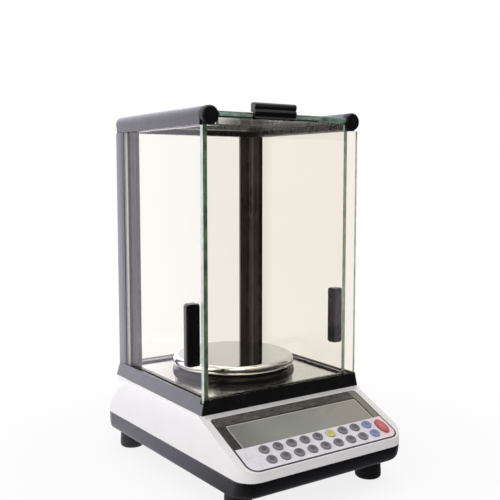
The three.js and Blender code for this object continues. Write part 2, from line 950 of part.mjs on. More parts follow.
// Load cell: a beam thinned by two pairs of bores into bending points, with the base under one end
function loadCell() {
  const half = cellWidth / 2;
  let body = solid(block(
    panX - half,
    panX + half,
    cellFront,
    cellFront + cellLength,
    cellBottom,
    cellTop,
  ));
  const middle = (cellBottom + cellTop) / 2;
  for (const side of [-1, 1]) {
    const bore = shapeOf(shifted(
      ellipse(2 * cellBoreRadius, 2 * cellBoreRadius, boreSteps),
      cellBoreY + side * cellBoreSpread,
      middle,
    ));
    body = body.subtract(solid(runAlongX(bore, panX - half - overrun, panX + half + overrun)));
  }
  body = body.subtract(solid(block(
    panX - half - overrun,
    panX + half + overrun,
    cellBoreY - cellBoreSpread,
    cellBoreY + cellBoreSpread,
    middle - cellSlotHeight / 2,
    middle + cellSlotHeight / 2,
  )));
  return geometryOf(body);
}

function loadCellBase() {
  const rear = cellFront + cellLength;
  const half = cellWidth / 2;
  return block(panX - half, panX + half, rear - cellBaseDepth, rear, trayFloor, cellBottom);
}

addPiece(model, 'load_cell', loadCell(), metal(aluminium, 0.4));
addPiece(model, 'load_cell_base', loadCellBase(), metal(aluminium, 0.55));

// Pan support: a flanged stem on the beam's free end, with a four-armed spider under the pan
function panSupport() {
  const spiderTop = panTop - panWall - seatGap;
  const spiderFoot = spiderTop - spiderThickness;
  let body = solid(turned([
    [0, cellTop],
    [stemFootRadius, cellTop],
    [stemFootRadius, cellTop + stemFootHeight],
    [stemRadius, cellTop + stemFootHeight],
    [stemRadius, spiderFoot - spiderThickness],
    [spiderHubRadius, spiderFoot],
    [spiderHubRadius, spiderTop],
    [0, spiderTop],
  ], capSteps, panX, panY));
  const half = spiderArmWidth / 2;
  const reach = spiderReach;
  body = body.add(solid(block(panX - reach, panX + reach, panY - half, panY + half, spiderFoot, spiderTop)));
  body = body.add(solid(block(panX - half, panX + half, panY - reach, panY + reach, spiderFoot, spiderTop)));
  return geometryOf(body);
}

addPiece(model, 'pan_support', panSupport(), metal(aluminium, 0.4));

// Pan: a flat dish turned over, its edge rolled round into a bead with the lip turned in below
function weighingPan() {
  const outer = panRadius;
  const profile = [
    [0, panTop],
    ...arc(outer - panRoll, panTop - panRoll, panRoll, 90, 0, cornerSteps),
    ...arc(outer - panLipTurn, panBottom + panLipTurn, panLipTurn, 0, -90, cornerSteps),
    ...arc(outer - panLipTurn, panBottom + panLipTurn, panLipTurn - panWall, -90, 0),
    ...arc(outer - panRoll, panTop - panRoll, panRoll - panWall, 0, 90),
    [0, panTop - panWall],
  ];
  return turned(profile, panSteps, panX, panY);
}

function panCollar() {
  const outer = collarRadius;
  const top = floorPlateTop + collarHeight;
  const profile = [
    [outer, floorPlateTop],
    ...arc(outer - collarTurn, top - collarTurn, collarTurn, 0, 90),
    ...arc(outer - collarTurn, top - collarTurn, collarTurn - collarWall, 90, 0),
    [outer - collarWall, floorPlateTop],
    [outer, floorPlateTop],
  ];
  return turned(profile, panSteps, panX, panY);
}

addPiece(model, 'weighing_pan', weighingPan(), metal(steel, 0.08));
addPiece(model, 'pan_collar', panCollar(), plastic(black, 0.2));

// Floor plate on the ledge of the shield base
function floorPlate() {
  const sheet = solid(block(
    seatGap - baseWindowHalfWidth,
    baseWindowHalfWidth - seatGap,
    baseWindowFront + seatGap,
    baseWindowRear - seatGap,
    floorPlateBottom,
    floorPlateTop,
  ));
  const hole = roundBar(
    stemRadius + stemHoleGap,
    floorPlateBottom - overrun,
    floorPlateTop + overrun,
    panX,
    panY,
  );
  return geometryOf(sheet.subtract(solid(hole)));
}

addPiece(model, 'floor_plate', floorPlate(), metal(steel, 0.1));

// Shield base: a flared frame with a ledge, two door tracks and two glass grooves
function shieldBase() {
  const level = (z, flare, frontFlare) => ({
    z,
    points: roundedOutline(
      shieldHalfWidth + flare,
      shieldFront - frontFlare,
      shieldRear + flare,
      baseCorner,
    ),
  });
  let body = solid(loft([
    level(housingTop, baseFlare, baseFrontFlare),
    level(baseTop, 0, 0),
  ]));
  body = body.subtract(solid(block(
    -baseLedgeHalfWidth,
    baseLedgeHalfWidth,
    baseLedgeFront,
    baseLedgeRear,
    housingTop - overrun,
    baseTop + overrun,
  )));
  body = body.subtract(solid(block(
    -baseWindowHalfWidth,
    baseWindowHalfWidth,
    baseWindowFront,
    baseWindowRear,
    floorPlateBottom,
    baseTop + overrun,
  )));
  const grooveFloor = baseTop - grooveDepth;
  for (const side of [-1, 1]) {
    const inner = side * (doorInnerX - slideGap);
    const outer = side * (doorOuterX + slideGap);
    body = body.subtract(solid(block(
      Math.min(inner, outer),
      Math.max(inner, outer),
      frontGlassRear - seatGap,
      shieldRear + baseFlare + overrun,
      grooveFloor,
      baseTop + overrun,
    )));
  }
  body = body.subtract(solid(block(
    -shieldHalfWidth - baseFlare - overrun,
    shieldHalfWidth + baseFlare + overrun,
    frontGlassY - seatGap,
    frontGlassRear + seatGap,
    grooveFloor,
    baseTop + overrun,
  )));
  body = body.subtract(solid(block(
    -postInnerX - postGrip - seatGap,
    postInnerX + postGrip + seatGap,
    rearGlassY - seatGap,
    rearGlassY + rearGlassThickness + seatGap,
    grooveFloor,
    baseTop + overrun,
  )));
  return geometryOf(body);
}

addPiece(model, 'shield_base', shieldBase(), plastic(black, 0.3));

// Rear posts, each with a flange behind the rear pane
function rearPost(side) {
  const grooveRear = rearGlassY + rearGlassThickness + seatGap;
  const outline = [
    ...arc(postInnerX + postCorner, postFront + postCorner, postCorner, 180, 270),
    ...arc(postOuterX - postCorner, postFront + postCorner, postCorner, 270, 360),
    ...arc(postOuterX - postCorner, shieldRear - postCorner, postCorner, 0, 90),
    [postInnerX - postFlangeReach, shieldRear],
    [postInnerX - postFlangeReach, grooveRear],
    [postInnerX + postGrip, grooveRear],
    [postInnerX + postGrip, rearGlassY - seatGap],
    [postInnerX, rearGlassY - seatGap],
  ];
  return raised(shapeOf(outline.map(([x, y]) => [side * x, y])), baseTop, railBottom);
}

// The guide strip outside each door's slot, its outer face slanted towards the front
function guideStrip(side) {
  const outline = [
    [shieldHalfWidth - guideWidth, postFront],
    [shieldHalfWidth - guideSlant, postFront],
    [shieldHalfWidth, postFront + guideSlantDepth],
    [shieldHalfWidth, shieldRear],
    [shieldHalfWidth - guideWidth, shieldRear],
  ];
  return raised(shapeOf(outline.map(([x, y]) => [side * x, y])), baseTop, railBottom);
}

for (const [name, side] of [['left', -1], ['right', 1]]) {
  addPiece(model, `${name}_rear_post`, rearPost(side), metal(black, 0.3));
  addPiece(model, `${name}_guide_strip`, guideStrip(side), metal(black, 0.3));
}

const halfTurn = 180;

// Top side rails: round above, flat below with the door's groove, slotted inside for the top pane
function railOutline() {
  const turn = THREE.MathUtils.radToDeg(Math.acos(railFootHalfWidth / railRadius));
  const foot = -railRadius;
  return [
    ...arc(0, 0, railRadius, -turn, halfTurn + turn, holeSteps),
    ...arc(railFootCorner - railFootHalfWidth, foot + railFootCorner, railFootCorner, 180, 270),
    ...arc(railFootHalfWidth - railFootCorner, foot + railFootCorner, railFootCorner, 270, 360),
  ];
}

function paneSlot(side, y0, y1) {
  const inner = side * (railCentreX - railRadius - overrun);
  const outer = side * (railCentreX - railRadius + topPaneGrip + slideGap);
  return block(
    Math.min(inner, outer),
    Math.max(inner, outer),
    y0,
    y1,
    topPaneBottom - slideGap,
    topPaneTop + slideGap,
  );
}

const capJoint = shieldRear - railRearCap;

function sideRail(side) {
  const outline = shapeOf(shifted(railOutline(), side * railCentreX, railCentreZ));
  let body = solid(runAlongY(outline, railFront, capJoint));
  body = body.subtract(solid(paneSlot(side, railFront - overrun, capJoint + overrun)));
  const inner = side * (doorInnerX - slideGap);
  const outer = side * (doorOuterX + slideGap);
  body = body.subtract(solid(block(
    Math.min(inner, outer),
    Math.max(inner, outer),
    railFront - overrun,
    capJoint + overrun,
    railBottom - overrun,
    doorTop + seatGap,
  )));
  return geometryOf(body);
}

// Front caps: knurled plugs over the rails' ends
function frontCap(side) {
  const points = [];
  const count = capSteps * 2;
  for (let i = 0; i < count; i += 1) {
    const angle = (2 * Math.PI * i) / count;
    points.push([angle, i % 2 === 0 ? frontCapRadius : frontCapRadius - frontCapRib]);
  }
  const ring = (inset, z) => ({
    z,
    points: points.map(([angle, radius]) => [
      (Math.min(radius, frontCapRadius - inset)) * Math.cos(angle),
      (Math.min(radius, frontCapRadius - inset)) * Math.sin(angle),
    ]),
  });
  const geometry = loft([
    ring(0, 0),
    ring(0, frontCapLength - frontCapEdge),
    ring(frontCapEdge, frontCapLength),
  ]);
  geometry.rotateX(Math.PI / 2);
  geometry.translate(side * railCentreX, railFront, railCentreZ);
  return geometry;
}

// Rear caps: plain domed plugs, open where the top pane and the doors pass
function rearCap(side) {
  const outline = railOutline();
  const grow = (share) => outline.map(([x, y]) => [x * share, y * share]);
  const dome = 1 - railRearCapDome / railRadius;
  const geometry = loft([
    { z: 0, points: grow(1) },
    { z: railRearCap - railRearCapDome, points: grow(1) },
    { z: railRearCap, points: grow(dome) },
  ]);
  geometry.rotateX(-Math.PI / 2);
  geometry.scale(1, 1, -1);
  geometry.translate(side * railCentreX, capJoint, railCentreZ);
  let body = solid(geometry);
  body = body.subtract(solid(paneSlot(side, capJoint - overrun, shieldRear + overrun)));
  const inner = side * (doorInnerX - slideGap);
  const outer = side * (doorOuterX + slideGap);
  body = body.subtract(solid(block(
    Math.min(inner, outer),
    Math.max(inner, outer),
    capJoint - overrun,
    shieldRear + overrun,
    railBottom - overrun,
    doorTop + seatGap,
  )));
  return geometryOf(body);
}

for (const [name, side] of [['left', -1], ['right', 1]]) {
  addPiece(model, `${name}_top_rail`, sideRail(side), metal(darkGrey, 0.35));
  addPiece(model, `${name}_rail_front_cap`, frontCap(side), plastic(black, 0.4));
  addPiece(model, `${name}_rail_rear_cap`, rearCap(side), plastic(black, 0.4));
}

// Rear rail between the posts, grooved below for the rear pane
function topRearRail() {
  const half = postInnerX + seatGap;
  const bar = solid(block(-half, half, rearRailFront, shieldRear, railBottom, railBottom + rearRailHeight));
  const groove = block(
    -half - overrun,
    half + overrun,
    rearGlassY - seatGap,
    rearGlassY + rearGlassThickness + seatGap,
    railBottom - overrun,
    railBottom + rearRailHeight / 2,
  );
  return geometryOf(bar.subtract(solid(groove)));
}

addPiece(model, 'top_rear_rail', topRearRail(), metal(black, 0.3));

// Fixed panes
function frontGlass() {
  const neck = railCentreX - frontCapRadius - seatGap;
  const shoulder = railCentreZ - frontCapRadius - seatGap;
  const top = clipBottom - seatGap;
  const outline = [
    [-frontGlassHalfWidth, baseTop - grooveDepth + seatGap],
    [frontGlassHalfWidth, baseTop - grooveDepth + seatGap],
    [frontGlassHalfWidth, shoulder],
    [neck, shoulder],
    [neck, top],
    [-neck, top],
    [-neck, shoulder],
    [-frontGlassHalfWidth, shoulder],
  ];
  return runAlongY(shapeOf(outline), frontGlassY, frontGlassRear);
}

function rearGlass() {
  const half = postInnerX + postGrip - seatGap;
  return block(
    -half,
    half,
    rearGlassY,
    rearGlassY + rearGlassThickness,
    baseTop - grooveDepth + seatGap,
    railBottom + rearRailHeight / 2 - seatGap,
  );
}

// The rear pane's upper corners stand clear of the top rails
function rearGlassTrimmed() {
  let pane = solid(rearGlass());
  for (const side of [-1, 1]) {
    const edges = [side * (postInnerX - seatGap), side * (postInnerX + postGrip + overrun)];
    pane = pane.subtract(solid(block(
      Math.min(...edges),
      Math.max(...edges),
      rearGlassY - overrun,
      rearGlassY + rearGlassThickness + overrun,
      railBottom - seatGap,
      railBottom + rearRailHeight,
    )));
  }
  return geometryOf(pane);
}

addPiece(model, 'front_glass', frontGlass(), clearGlass());
addPiece(model, 'rear_glass', rearGlassTrimmed(), clearGlass());

// Side doors and their handles; the right one stands a little open
function sideDoor(side, slide) {
  const edges = [side * doorInnerX, side * doorOuterX];
  return block(
    Math.min(...edges),
    Math.max(...edges),
    doorFront + slide,
    doorFront + slide + doorLength,
    doorBottom,
    doorTop,
  );
}

function doorHandle(side, setback, rise) {
  const outline = (shrink) => [
    [0, -gripBaseDepth / 2 + shrink],
    [gripProud - shrink - gripEdge, -gripFaceDepth / 2 - shrink / 2],
    [gripProud - shrink, -gripFaceDepth / 2 + gripEdge],
    [gripProud - shrink, gripFaceDepth / 2 - gripEdge],
    [gripProud - shrink - gripEdge, gripFaceDepth / 2 + shrink / 2],
    [0, gripBaseDepth / 2 - shrink],
  ];
  const level = (z, shrink) => ({ z, points: outline(shrink) });
  const half = gripLength / 2;
  const geometry = loft([
    level(-half, gripEdge),
    level(gripEdge - half, 0),
    level(half - gripEdge, 0),
    level(half, gripEdge),
  ]);
  geometry.scale(side, 1, 1);
  geometry.translate(side * doorOuterX, doorFront + setback, baseTop + rise);
  return geometry;
}

const leftGrip = doorHandle(-1, leftGripSetback, leftGripRise);
const rightGrip = doorHandle(1, rightDoorOpen + rightGripSetback, rightGripRise);
addPiece(model, 'left_door', sideDoor(-1, 0), clearGlass());
addPiece(model, 'left_door_handle', leftGrip, plastic(black, 0.35));
addPiece(model, 'right_door', sideDoor(1, rightDoorOpen), clearGlass());
addPiece(model, 'right_door_handle', rightGrip, plastic(black, 0.35));

// Top door: a pane in the rails' slots, its narrower nose with a rounded front edge, and its clip
function topDoor() {
  const gripX = railCentreX - railRadius + topPaneGrip;
  const noseX = railCentreX - frontCapRadius - seatGap;
  const shoulder = railFront + seatGap;
  let body = solid(block(-gripX, gripX, shoulder, shieldRear - seatGap, topPaneBottom, topPaneTop));
  const round = topPaneThickness / 2;
  const middle = topPaneBottom + round;
  const nose = shapeOf([
    ...arc(topPaneFront + round, middle, round, 90, 270, cornerSteps),
    [shoulder + overrun, topPaneBottom],
    [shoulder + overrun, topPaneTop],
  ]);
  body = body.add(solid(runAlongX(nose, -noseX, noseX)));
  return geometryOf(body);
}

function topDoorHandle() {
  const height = clipTop - clipBottom;
  const at = (share) => clipBottom + share * height;
  const [lip, trough, ridge, crest, rib, groove, brow] = clipRibShares;
  const web = topPaneFront - seatGap;
  const shelf = topPaneTop + seatGap;
  const outline = [
    [web, clipBottom],
    [web, shelf],
    [clipRear, shelf],
    [clipRear, clipTop - clipEdge],
    [clipRear - clipEdge, clipTop],
    [clipFront + 2 * clipEdge, clipTop],
    [clipFront + clipEdge / 2, clipTop - clipEdge],
    [clipFront, at(brow)],
    [clipFront + clipRib, at(groove)],
    [clipFront + clipRib, at(rib)],
    [clipFront, at(crest)],
    [clipFront, at(ridge)],
    [clipFront + clipRib, at(trough) + clipRib],
    [clipFront + clipRib, at(trough)],
    [clipFront, at(lip)],
    [clipFront, clipBottom],
  ];
  return runAlongX(shapeOf(outline), clipX - clipWidth / 2, clipX + clipWidth / 2);
}

addPiece(model, 'top_door', topDoor(), clearGlass());
addPiece(model, 'top_door_handle', topDoorHandle(), plastic(black, 0.25));

// Sockets at the back
const socketLevel = (socketHeight - crownStart) / (housingTop - crownStart);
const rearWallY = housingHalfDepth - rearCrown * crown(socketLevel);

function facingRear(geometry, x, y) {
  const turnedBack = geometry.clone();
  turnedBack.applyMatrix4(new THREE.Matrix4().makeBasis(
    new THREE.Vector3(-1, 0, 0),
    new THREE.Vector3(0, 0, 1),
    new THREE.Vector3(0, 1, 0),
  ));
  turnedBack.translate(x, y, socketHeight);
  return turnedBack;
}

function powerInlet() {
  const face = rearWallY - socketRecess;
  const body = block(
    -inletWidth / 2,
    inletWidth / 2,
    -inletHeight / 2,
    inletHeight / 2,
    -inletDepth,
    0,
  );
  let socket = solid(body).subtract(solid(roundBar(inletBoreRadius, -inletBoreDepth, overrun, 0, 0)));
  const pinFoot = -inletBoreDepth - overrun / 2;
  socket = socket.add(solid(roundBar(inletPinRadius, pinFoot, -inletPinRadius, 0, 0, holeSteps)));
  return facingRear(geometryOf(socket), inletX, face);
}

function mouthOutline(grow) {
  const half = portMouthWidth / 2 + grow;
  const tall = portMouthHeight / 2 + grow;
  return [
    [-half + portMouthSlant, -tall],
    [half - portMouthSlant, -tall],
    [half, tall],
    [-half, tall],
  ];
}

function dataPort() {
  const face = rearWallY - socketRecess;
  const body = block(-portWidth / 2, portWidth / 2, -portHeight / 2, portHeight / 2, -portDepth, 0);
  let port = solid(body);
  port = port.add(solid(raised(shapeOf(mouthOutline(0)), -portMouthWall, portMouthProud)));
  port = port.subtract(solid(raised(
    shapeOf(mouthOutline(-portMouthWall)),
    portMouthProud - portFaceDepth,
    portMouthProud + overrun,
  )));
  return facingRear(geometryOf(port), portX, face);
}

addPiece(model, 'power_inlet', powerInlet(), plastic(black, 0.5));
addPiece(model, 'data_port', dataPort(), metal(steel, 0.3));

export default model;
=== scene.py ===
"""Looks of the precision balance: materials, fine meshes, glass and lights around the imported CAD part."""

import json
import math

import bmesh
import bpy
from mathutils import Matrix, Vector


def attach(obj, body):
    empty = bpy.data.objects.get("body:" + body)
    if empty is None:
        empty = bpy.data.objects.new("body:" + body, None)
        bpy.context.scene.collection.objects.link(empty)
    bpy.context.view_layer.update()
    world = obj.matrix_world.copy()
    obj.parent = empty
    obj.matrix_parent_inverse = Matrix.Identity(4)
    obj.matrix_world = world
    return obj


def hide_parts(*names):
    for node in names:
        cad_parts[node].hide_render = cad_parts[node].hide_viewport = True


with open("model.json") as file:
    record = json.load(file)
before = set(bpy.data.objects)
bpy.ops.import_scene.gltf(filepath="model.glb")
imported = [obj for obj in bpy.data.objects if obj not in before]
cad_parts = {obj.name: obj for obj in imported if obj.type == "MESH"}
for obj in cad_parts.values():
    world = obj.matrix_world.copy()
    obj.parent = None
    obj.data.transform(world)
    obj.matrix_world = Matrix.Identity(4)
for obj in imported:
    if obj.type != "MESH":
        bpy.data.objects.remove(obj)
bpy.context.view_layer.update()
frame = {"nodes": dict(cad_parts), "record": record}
NODES = frame["nodes"]
SLOTS = {s["node"]: s["material_slot"] for s in frame["record"]["subparts"]}
SCENE = bpy.context.scene
MM = 0.001
WELD_M = 1e-6
CREASE = 32

# Pan, collar and floor plate, in mm
PAN_CENTRE = (0.0, 21.2)
PAN_R, PAN_TOP, PAN_FOOT = 58.0, 103.5, 94.0
PAN_ROLL, PAN_TURN, PAN_WALL = 4.6, 4.2, 1.0
PLATE_TOP = 87.7
COLLAR_R, COLLAR_CURVE, COLLAR_WALL, COLLAR_HIGH = 59.0, 5.4, 7.0, 5.9
TURNED_STEPS = 160

# Housing, in mm
HOUSE_FRONT_W, HOUSE_W, HOUSE_D = 88.0, 93.3, 129.5
FRONT_R, REAR_R = 17.0, 24.0
CROWN_TOP_W, REAR_CROWN, CORNER_CROWN = 87.4, 24.0, 30.0
TRAY_BOTTOM, SPLIT, HOUSE_TOP, CROWN_Z = 20.8, 37.7, 76.4, 39.3
SPLIT_GAP = 0.25
SEAT_W, SEAT_FRONT, SEAT_REAR, SEAT_R = 86.9, -65.3, 105.6, 3
SOCKETS = ((-42, 16, 13), (30, 32, 13))
SOCKET_Z, SOCKET_GAP = 54.7, 0.3

# Slope and panel, in mm: across, and down from the top edge
SLOPE_TOP = (-66.1, 72.9)
SLOPE_FOOT = (-129.5, 45.6)
PANEL_W, PANEL_H, PANEL_R, PANEL_TOP_R = 80.8, 67.6, 10, 3
PANEL_GAP, RECESS_DEPTH, BAY_DEPTH, ABOVE = 0.3, 1.3, 14, 6
WINDOW_BAY = (-70.5, 70.5, -37.5, -12)
KEY_BAY = (-62, 78, -65.1, -41.5)
DISPLAY_W, DISPLAY_TOP, DISPLAY_FOOT, DISPLAY_LINE = 71.7, 11.3, 42, 0.7
DARK_FIELD_FOOT = 40
FIRST_KEY, KEY_PITCH, ROW_PITCH = (-55.2, 46.5), 14.1, 12.0
KEY_SIZE = (9.4, 9.0)
TALL_KEY, TALL_KEY_SIZE = (70.9, 52.6), (10.0, 17.7)
SLOPE = math.atan2(SLOPE_TOP[1] - SLOPE_FOOT[1], SLOPE_TOP[0] - SLOPE_FOOT[0])
PANEL = Matrix.Translation((0, SLOPE_TOP[0] * MM, SLOPE_TOP[1] * MM)) @ Matrix.Rotation(SLOPE, 4, "X")

# Feet, in mm
FEET = {
    "foot_front_left": (-72.2, -96.1),
    "foot_front_right": (72.2, -96.1),
    "foot_rear_left": (-72.2, 102.7),
    "foot_rear_right": (72.2, 102.7),
}
FOOT_STUD_R, FOOT_STUD_HIGH, FOOT_GAP = 4, 11, 0.3
FOOT_BORE_R, FOOT_BORE = 4.4, (10, 35)
RIB_LOW, RIB_HIGH, RIB_COUNT, RIB_SHARE = 8.6, 16.6, 32, 0.02


# Node helpers
class Tree:
    """A small helper to write a material's nodes."""

    def __init__(self, name, world=False):
        self.mat = (bpy.data.worlds if world else bpy.data.materials).new(name)
        self.mat.use_nodes = True
        self.nodes = self.mat.node_tree.nodes
        self.links = self.mat.node_tree.links
        self.nodes.clear()
        self.out = self.nodes.new("ShaderNodeOutputWorld" if world else "ShaderNodeOutputMaterial")
        self.coords = self.nodes.new("ShaderNodeTexCoord")

    def put(self, kind, **settings):
        """A new node, with its settings and its sockets' values given by name."""
        node = self.nodes.new(kind)
        for key, value in settings.items():
            if hasattr(node, key):
                setattr(node, key, value)
            else:
                node.inputs[key].default_value = value
        return node

    def link(self, a, b):
        self.links.new(a, b)

    def where(self):
        return self.coords.outputs["Object"]

    def split(self, vector):
        """The three parts of a vector."""
        node = self.put("ShaderNodeSeparateXYZ")
        self.link(vector, node.inputs[0])
        return node.outputs

    def noise(self, scale, detail=4.0, rough=0.55, stretch=(1, 1, 1)):
        mapping = self.put("ShaderNodeMapping", Scale=stretch)
        self.link(self.where(), mapping.inputs["Vector"])
        noise = self.put("ShaderNodeTexNoise", Scale=scale, Detail=detail, Roughness=rough)
        self.link(mapping.outputs["Vector"], noise.inputs["Vector"])
        return noise.outputs["Fac"]

    def ramp(self, value, kind, limits):
        """Carries one range of a value over to another: from, to, new from, new to."""
        node = self.put("ShaderNodeMapRange", interpolation_type=kind)
        for key, limit in zip(("From Min", "From Max", "To Min", "To Max"), limits):
            node.inputs[key].default_value = limit
        self.link(value, node.inputs["Value"])
        return node.outputs["Result"]

    def spread(self, value, low, high, from_low=0.3, from_high=0.7):
        """Brings the middle of a noise to a range of its own."""
        return self.ramp(value, "LINEAR", (from_low, from_high, low, high))

    def smooth(self, value, low, high, start=0.0, end=1.0):
        """One number below the first limit and another above the second, with a soft step between."""
        return self.ramp(value, "SMOOTHSTEP", (low, high, start, end))

    def math(self, operation, a, b=None):
        node = self.put("ShaderNodeMath", operation=operation)
        for socket, value in zip(node.inputs, (a, b)):
            if value is None:
                continue
            if isinstance(value, (int, float)):
                socket.default_value = value
            else:
                self.link(value, socket)
        return node.outputs[0]

    def length(self, a, b):
        """The diagonal over two lengths."""
        return self.math("SQRT", self.math("ADD", self.math("MULTIPLY", a, a), self.math("MULTIPLY", b, b)))

    def blend(self, factor, a, b):
        """Mixes two colours."""
        node = self.put("ShaderNodeMix", data_type="RGBA")
        fac, first, second = node.inputs[0], node.inputs[6], node.inputs[7]
        for socket, value in ((fac, factor), (first, a), (second, b)):
            if isinstance(value, (int, float)):
                socket.default_value = value
            elif isinstance(value, (tuple, list)):
                socket.default_value = (*value[:3], 1)
            else:
                self.link(value, socket)
        return node.outputs[2]

    def bump(self, height, strength, distance):
        node = self.put("ShaderNodeBump", Strength=strength, Distance=distance)
        self.link(height, node.inputs["Height"])
        return node.outputs["Normal"]

    def shader(self, color, rough, metallic=0.0, normal=None, coat=0.0, ior=1.5):
        node = self.put("ShaderNodeBsdfPrincipled", Metallic=metallic, IOR=ior)
        node.inputs["Coat Weight"].default_value = coat
        node.inputs["Coat Roughness"].default_value = 0.05
        for key, value in (("Base Color", color), ("Roughness", rough)):
            if isinstance(value, (int, float)):
                node.inputs[key].default_value = value
            elif isinstance(value, (tuple, list)):
                node.inputs[key].default_value = (*value[:3], 1)
            else:
                self.link(value, node.inputs[key])
        if normal is not None:
            self.link(normal, node.inputs["Normal"])
        return node

    def mixed(self, factor, first, second):
        """Mixes two shaders."""
        node = self.put("ShaderNodeMixShader")
        self.link(factor, node.inputs[0])
        self.link(first.outputs[0], node.inputs[1])
        self.link(second.outputs[0], node.inputs[2])
        return node

    def finish(self, shader):
        self.link(shader.outputs[0], self.out.inputs["Surface"])
        return self.mat


def srgb(code):
    """A colour given as a hex number, in linear light."""
    parts = [(code >> shift & 255) / 255 for shift in (16, 8, 0)]
    return tuple(c / 12.92 if c <= 0.04045 else ((c + 0.055) / 1.055) ** 2.4 for c in parts)


def shade(color, factor):
    return tuple(min(1, c * factor) for c in color)


# Materials
DUST = (0.5, 0.48, 0.45)


def moulded(
    name, color, rough, grain=900.0, depth=0.00003, variation=0.06, coat=0.0, dust_share=0.012, ior=1.5
):
    """Moulded plastic or paint: faint mottling, a fine grain and wiped, uneven gloss."""
    t = Tree(name)
    broad = t.noise(35, detail=3)
    fine = t.noise(grain, detail=2, rough=0.6)
    dust = t.noise(160, detail=6, rough=0.7)
    base = t.blend(t.spread(broad, 0, 1), shade(color, 1 - variation), shade(color, 1 + variation / 2))
    base = t.blend(t.spread(dust, 0, dust_share, 0.6, 0.8), base, DUST)
    gloss = t.math("ADD", t.spread(broad, rough - 0.05, rough + 0.05), t.spread(dust, -0.03, 0.06))
    return t.finish(t.shader(base, gloss, normal=t.bump(fine, 0.5, depth), coat=coat, ior=ior))


def anodised(name, color, rough, ior=1.5):
    """Drawn and coated bar: fine lines along its length."""
    t = Tree(name)
    lines = t.noise(500, detail=3, rough=0.6, stretch=(1, 1, 0.02))
    broad = t.noise(40, detail=3)
    base = t.blend(t.spread(broad, 0, 1), shade(color, 0.85), shade(color, 1.25))
    gloss = t.math("ADD", t.spread(lines, rough - 0.06, rough + 0.06), t.spread(broad, -0.04, 0.04))
    return t.finish(t.shader(base, gloss, normal=t.bump(lines, 0.25, 0.00002), ior=ior))


def knurled(name, color, rough):
    """Black plastic cap: fine ridges along its length, dull but for a few painted glints, pale specks in its
    colour that stand in for highlights.
    """
    t = Tree(name)
    ridges = t.noise(420, detail=2, rough=0.5, stretch=(1, 0.08, 1))
    painted_glint_noise = t.noise(600, detail=3, rough=0.7)
    # Painted highlight: pale grey specks in the colour stand in for glints on the ridges.
    base = t.blend(t.spread(painted_glint_noise, 0, 0.1, 0.64, 0.7), color, (0.6, 0.6, 0.6))
    film = t.shader(base, t.spread(painted_glint_noise, rough, rough + 0.15), normal=t.bump(ridges, 0.6, 0.00012))
    film.inputs["Specular IOR Level"].default_value = 0.25
    return t.finish(film)


def polished(name, color, rough):
    """Polished steel with wiping marks and hairline scratches."""
    t = Tree(name)
    wipe = t.noise(28, detail=4, rough=0.6)
    hair = t.noise(700, detail=2, rough=0.5, stretch=(1, 0.05, 1))
    cross = t.noise(620, detail=2, rough=0.5, stretch=(0.05, 1, 1))
    marks = t.math("MAXIMUM", hair, cross)
    base = t.blend(t.spread(wipe, 0, 1), shade(color, 0.97), shade(color, 1.02))
    gloss = t.math("ADD", t.spread(wipe, rough, rough + 0.04), t.spread(marks, 0, 0.05, 0.62, 0.8))
    return t.finish(t.shader(base, gloss, metallic=1.0, normal=t.bump(marks, 0.06, 0.000006)))


def machined(name, color, rough):
    """Milled metal with fine tool lines."""
    t = Tree(name)
    lines = t.noise(900, detail=2, rough=0.5, stretch=(0.05, 1, 1))
    base = t.blend(t.spread(lines, 0, 1), shade(color, 0.88), shade(color, 1.05))
    gloss = t.spread(lines, rough - 0.08, rough + 0.1)
    return t.finish(t.shader(base, gloss, metallic=1.0, normal=t.bump(lines, 0.3, 0.00002)))


def clear_pane(name, tint, axis, edge_colors, ior=1.42, grazing_shade=None, rear_highlight=None):
    """Float glass: clear faces with a trace of wiping, and ground green edges; if asked, the faces turn dark
    at grazing angles, a painted shade, and the edges turn near white at the rear, a painted highlight.
    """
    t = Tree(name)
    smear = t.noise(14, detail=5, rough=0.6)
    color = tint
    # Painted shade: the glass tint turns near black at grazing angles, standing in for the dark underside
    # seen in the top pane.
    if grazing_shade:
        facing = t.put("ShaderNodeLayerWeight", Blend=0.5).outputs["Facing"]
        color = t.blend(t.smooth(facing, 0.72, 0.9), tint, grazing_shade)
    glass = t.shader(color, t.spread(smear, 0.0, 0.02, 0.5, 0.8), ior=ior)
    glass.inputs["Transmission Weight"].default_value = 1.0
    clear = t.put("ShaderNodeBsdfTransparent", Color=(*shade(tint, 0.9), 1))
    path = t.put("ShaderNodeLightPath")
    soft = t.math("MAXIMUM", path.outputs["Is Shadow Ray"], path.outputs["Is Diffuse Ray"])
    face = t.mixed(soft, glass, clear)
    across_pane = t.split(t.coords.outputs["Normal"])[axis]
    on_edge = t.math("LESS_THAN", t.math("ABSOLUTE", across_pane), 0.7)
    streaks = t.noise(90, detail=3, rough=0.6)
    green = t.blend(t.spread(streaks, 0, 1), *edge_colors)
    # Painted highlight: the ground edge turns near white towards the rear.
    if rear_highlight:
        green = t.blend(t.smooth(t.split(t.where())[1], 0.0, 0.05), green, rear_highlight)
    edge = t.shader(green, t.spread(streaks, 0.12, 0.3))
    return t.finish(t.mixed(on_edge, face, edge))


def on_slope(t):
    """Coordinates on the sloped panel in mm: across, and down from its top edge."""
    x, y, _ = t.split(t.where())
    across = t.math("MULTIPLY", x, 1 / MM)
    ahead = t.math("SUBTRACT", SLOPE_TOP[0], t.math("MULTIPLY", y, 1 / MM))
    return across, t.math("DIVIDE", ahead, math.cos(SLOPE))


def between(t, value, low, high, soft=0.05):
    """1 where the value lies between two limits, with soft ends."""
    above = t.smooth(value, low - soft, low + soft)
    below = t.smooth(value, high - soft, high + soft, 1, 0)
    return t.math("MULTIPLY", above, below)


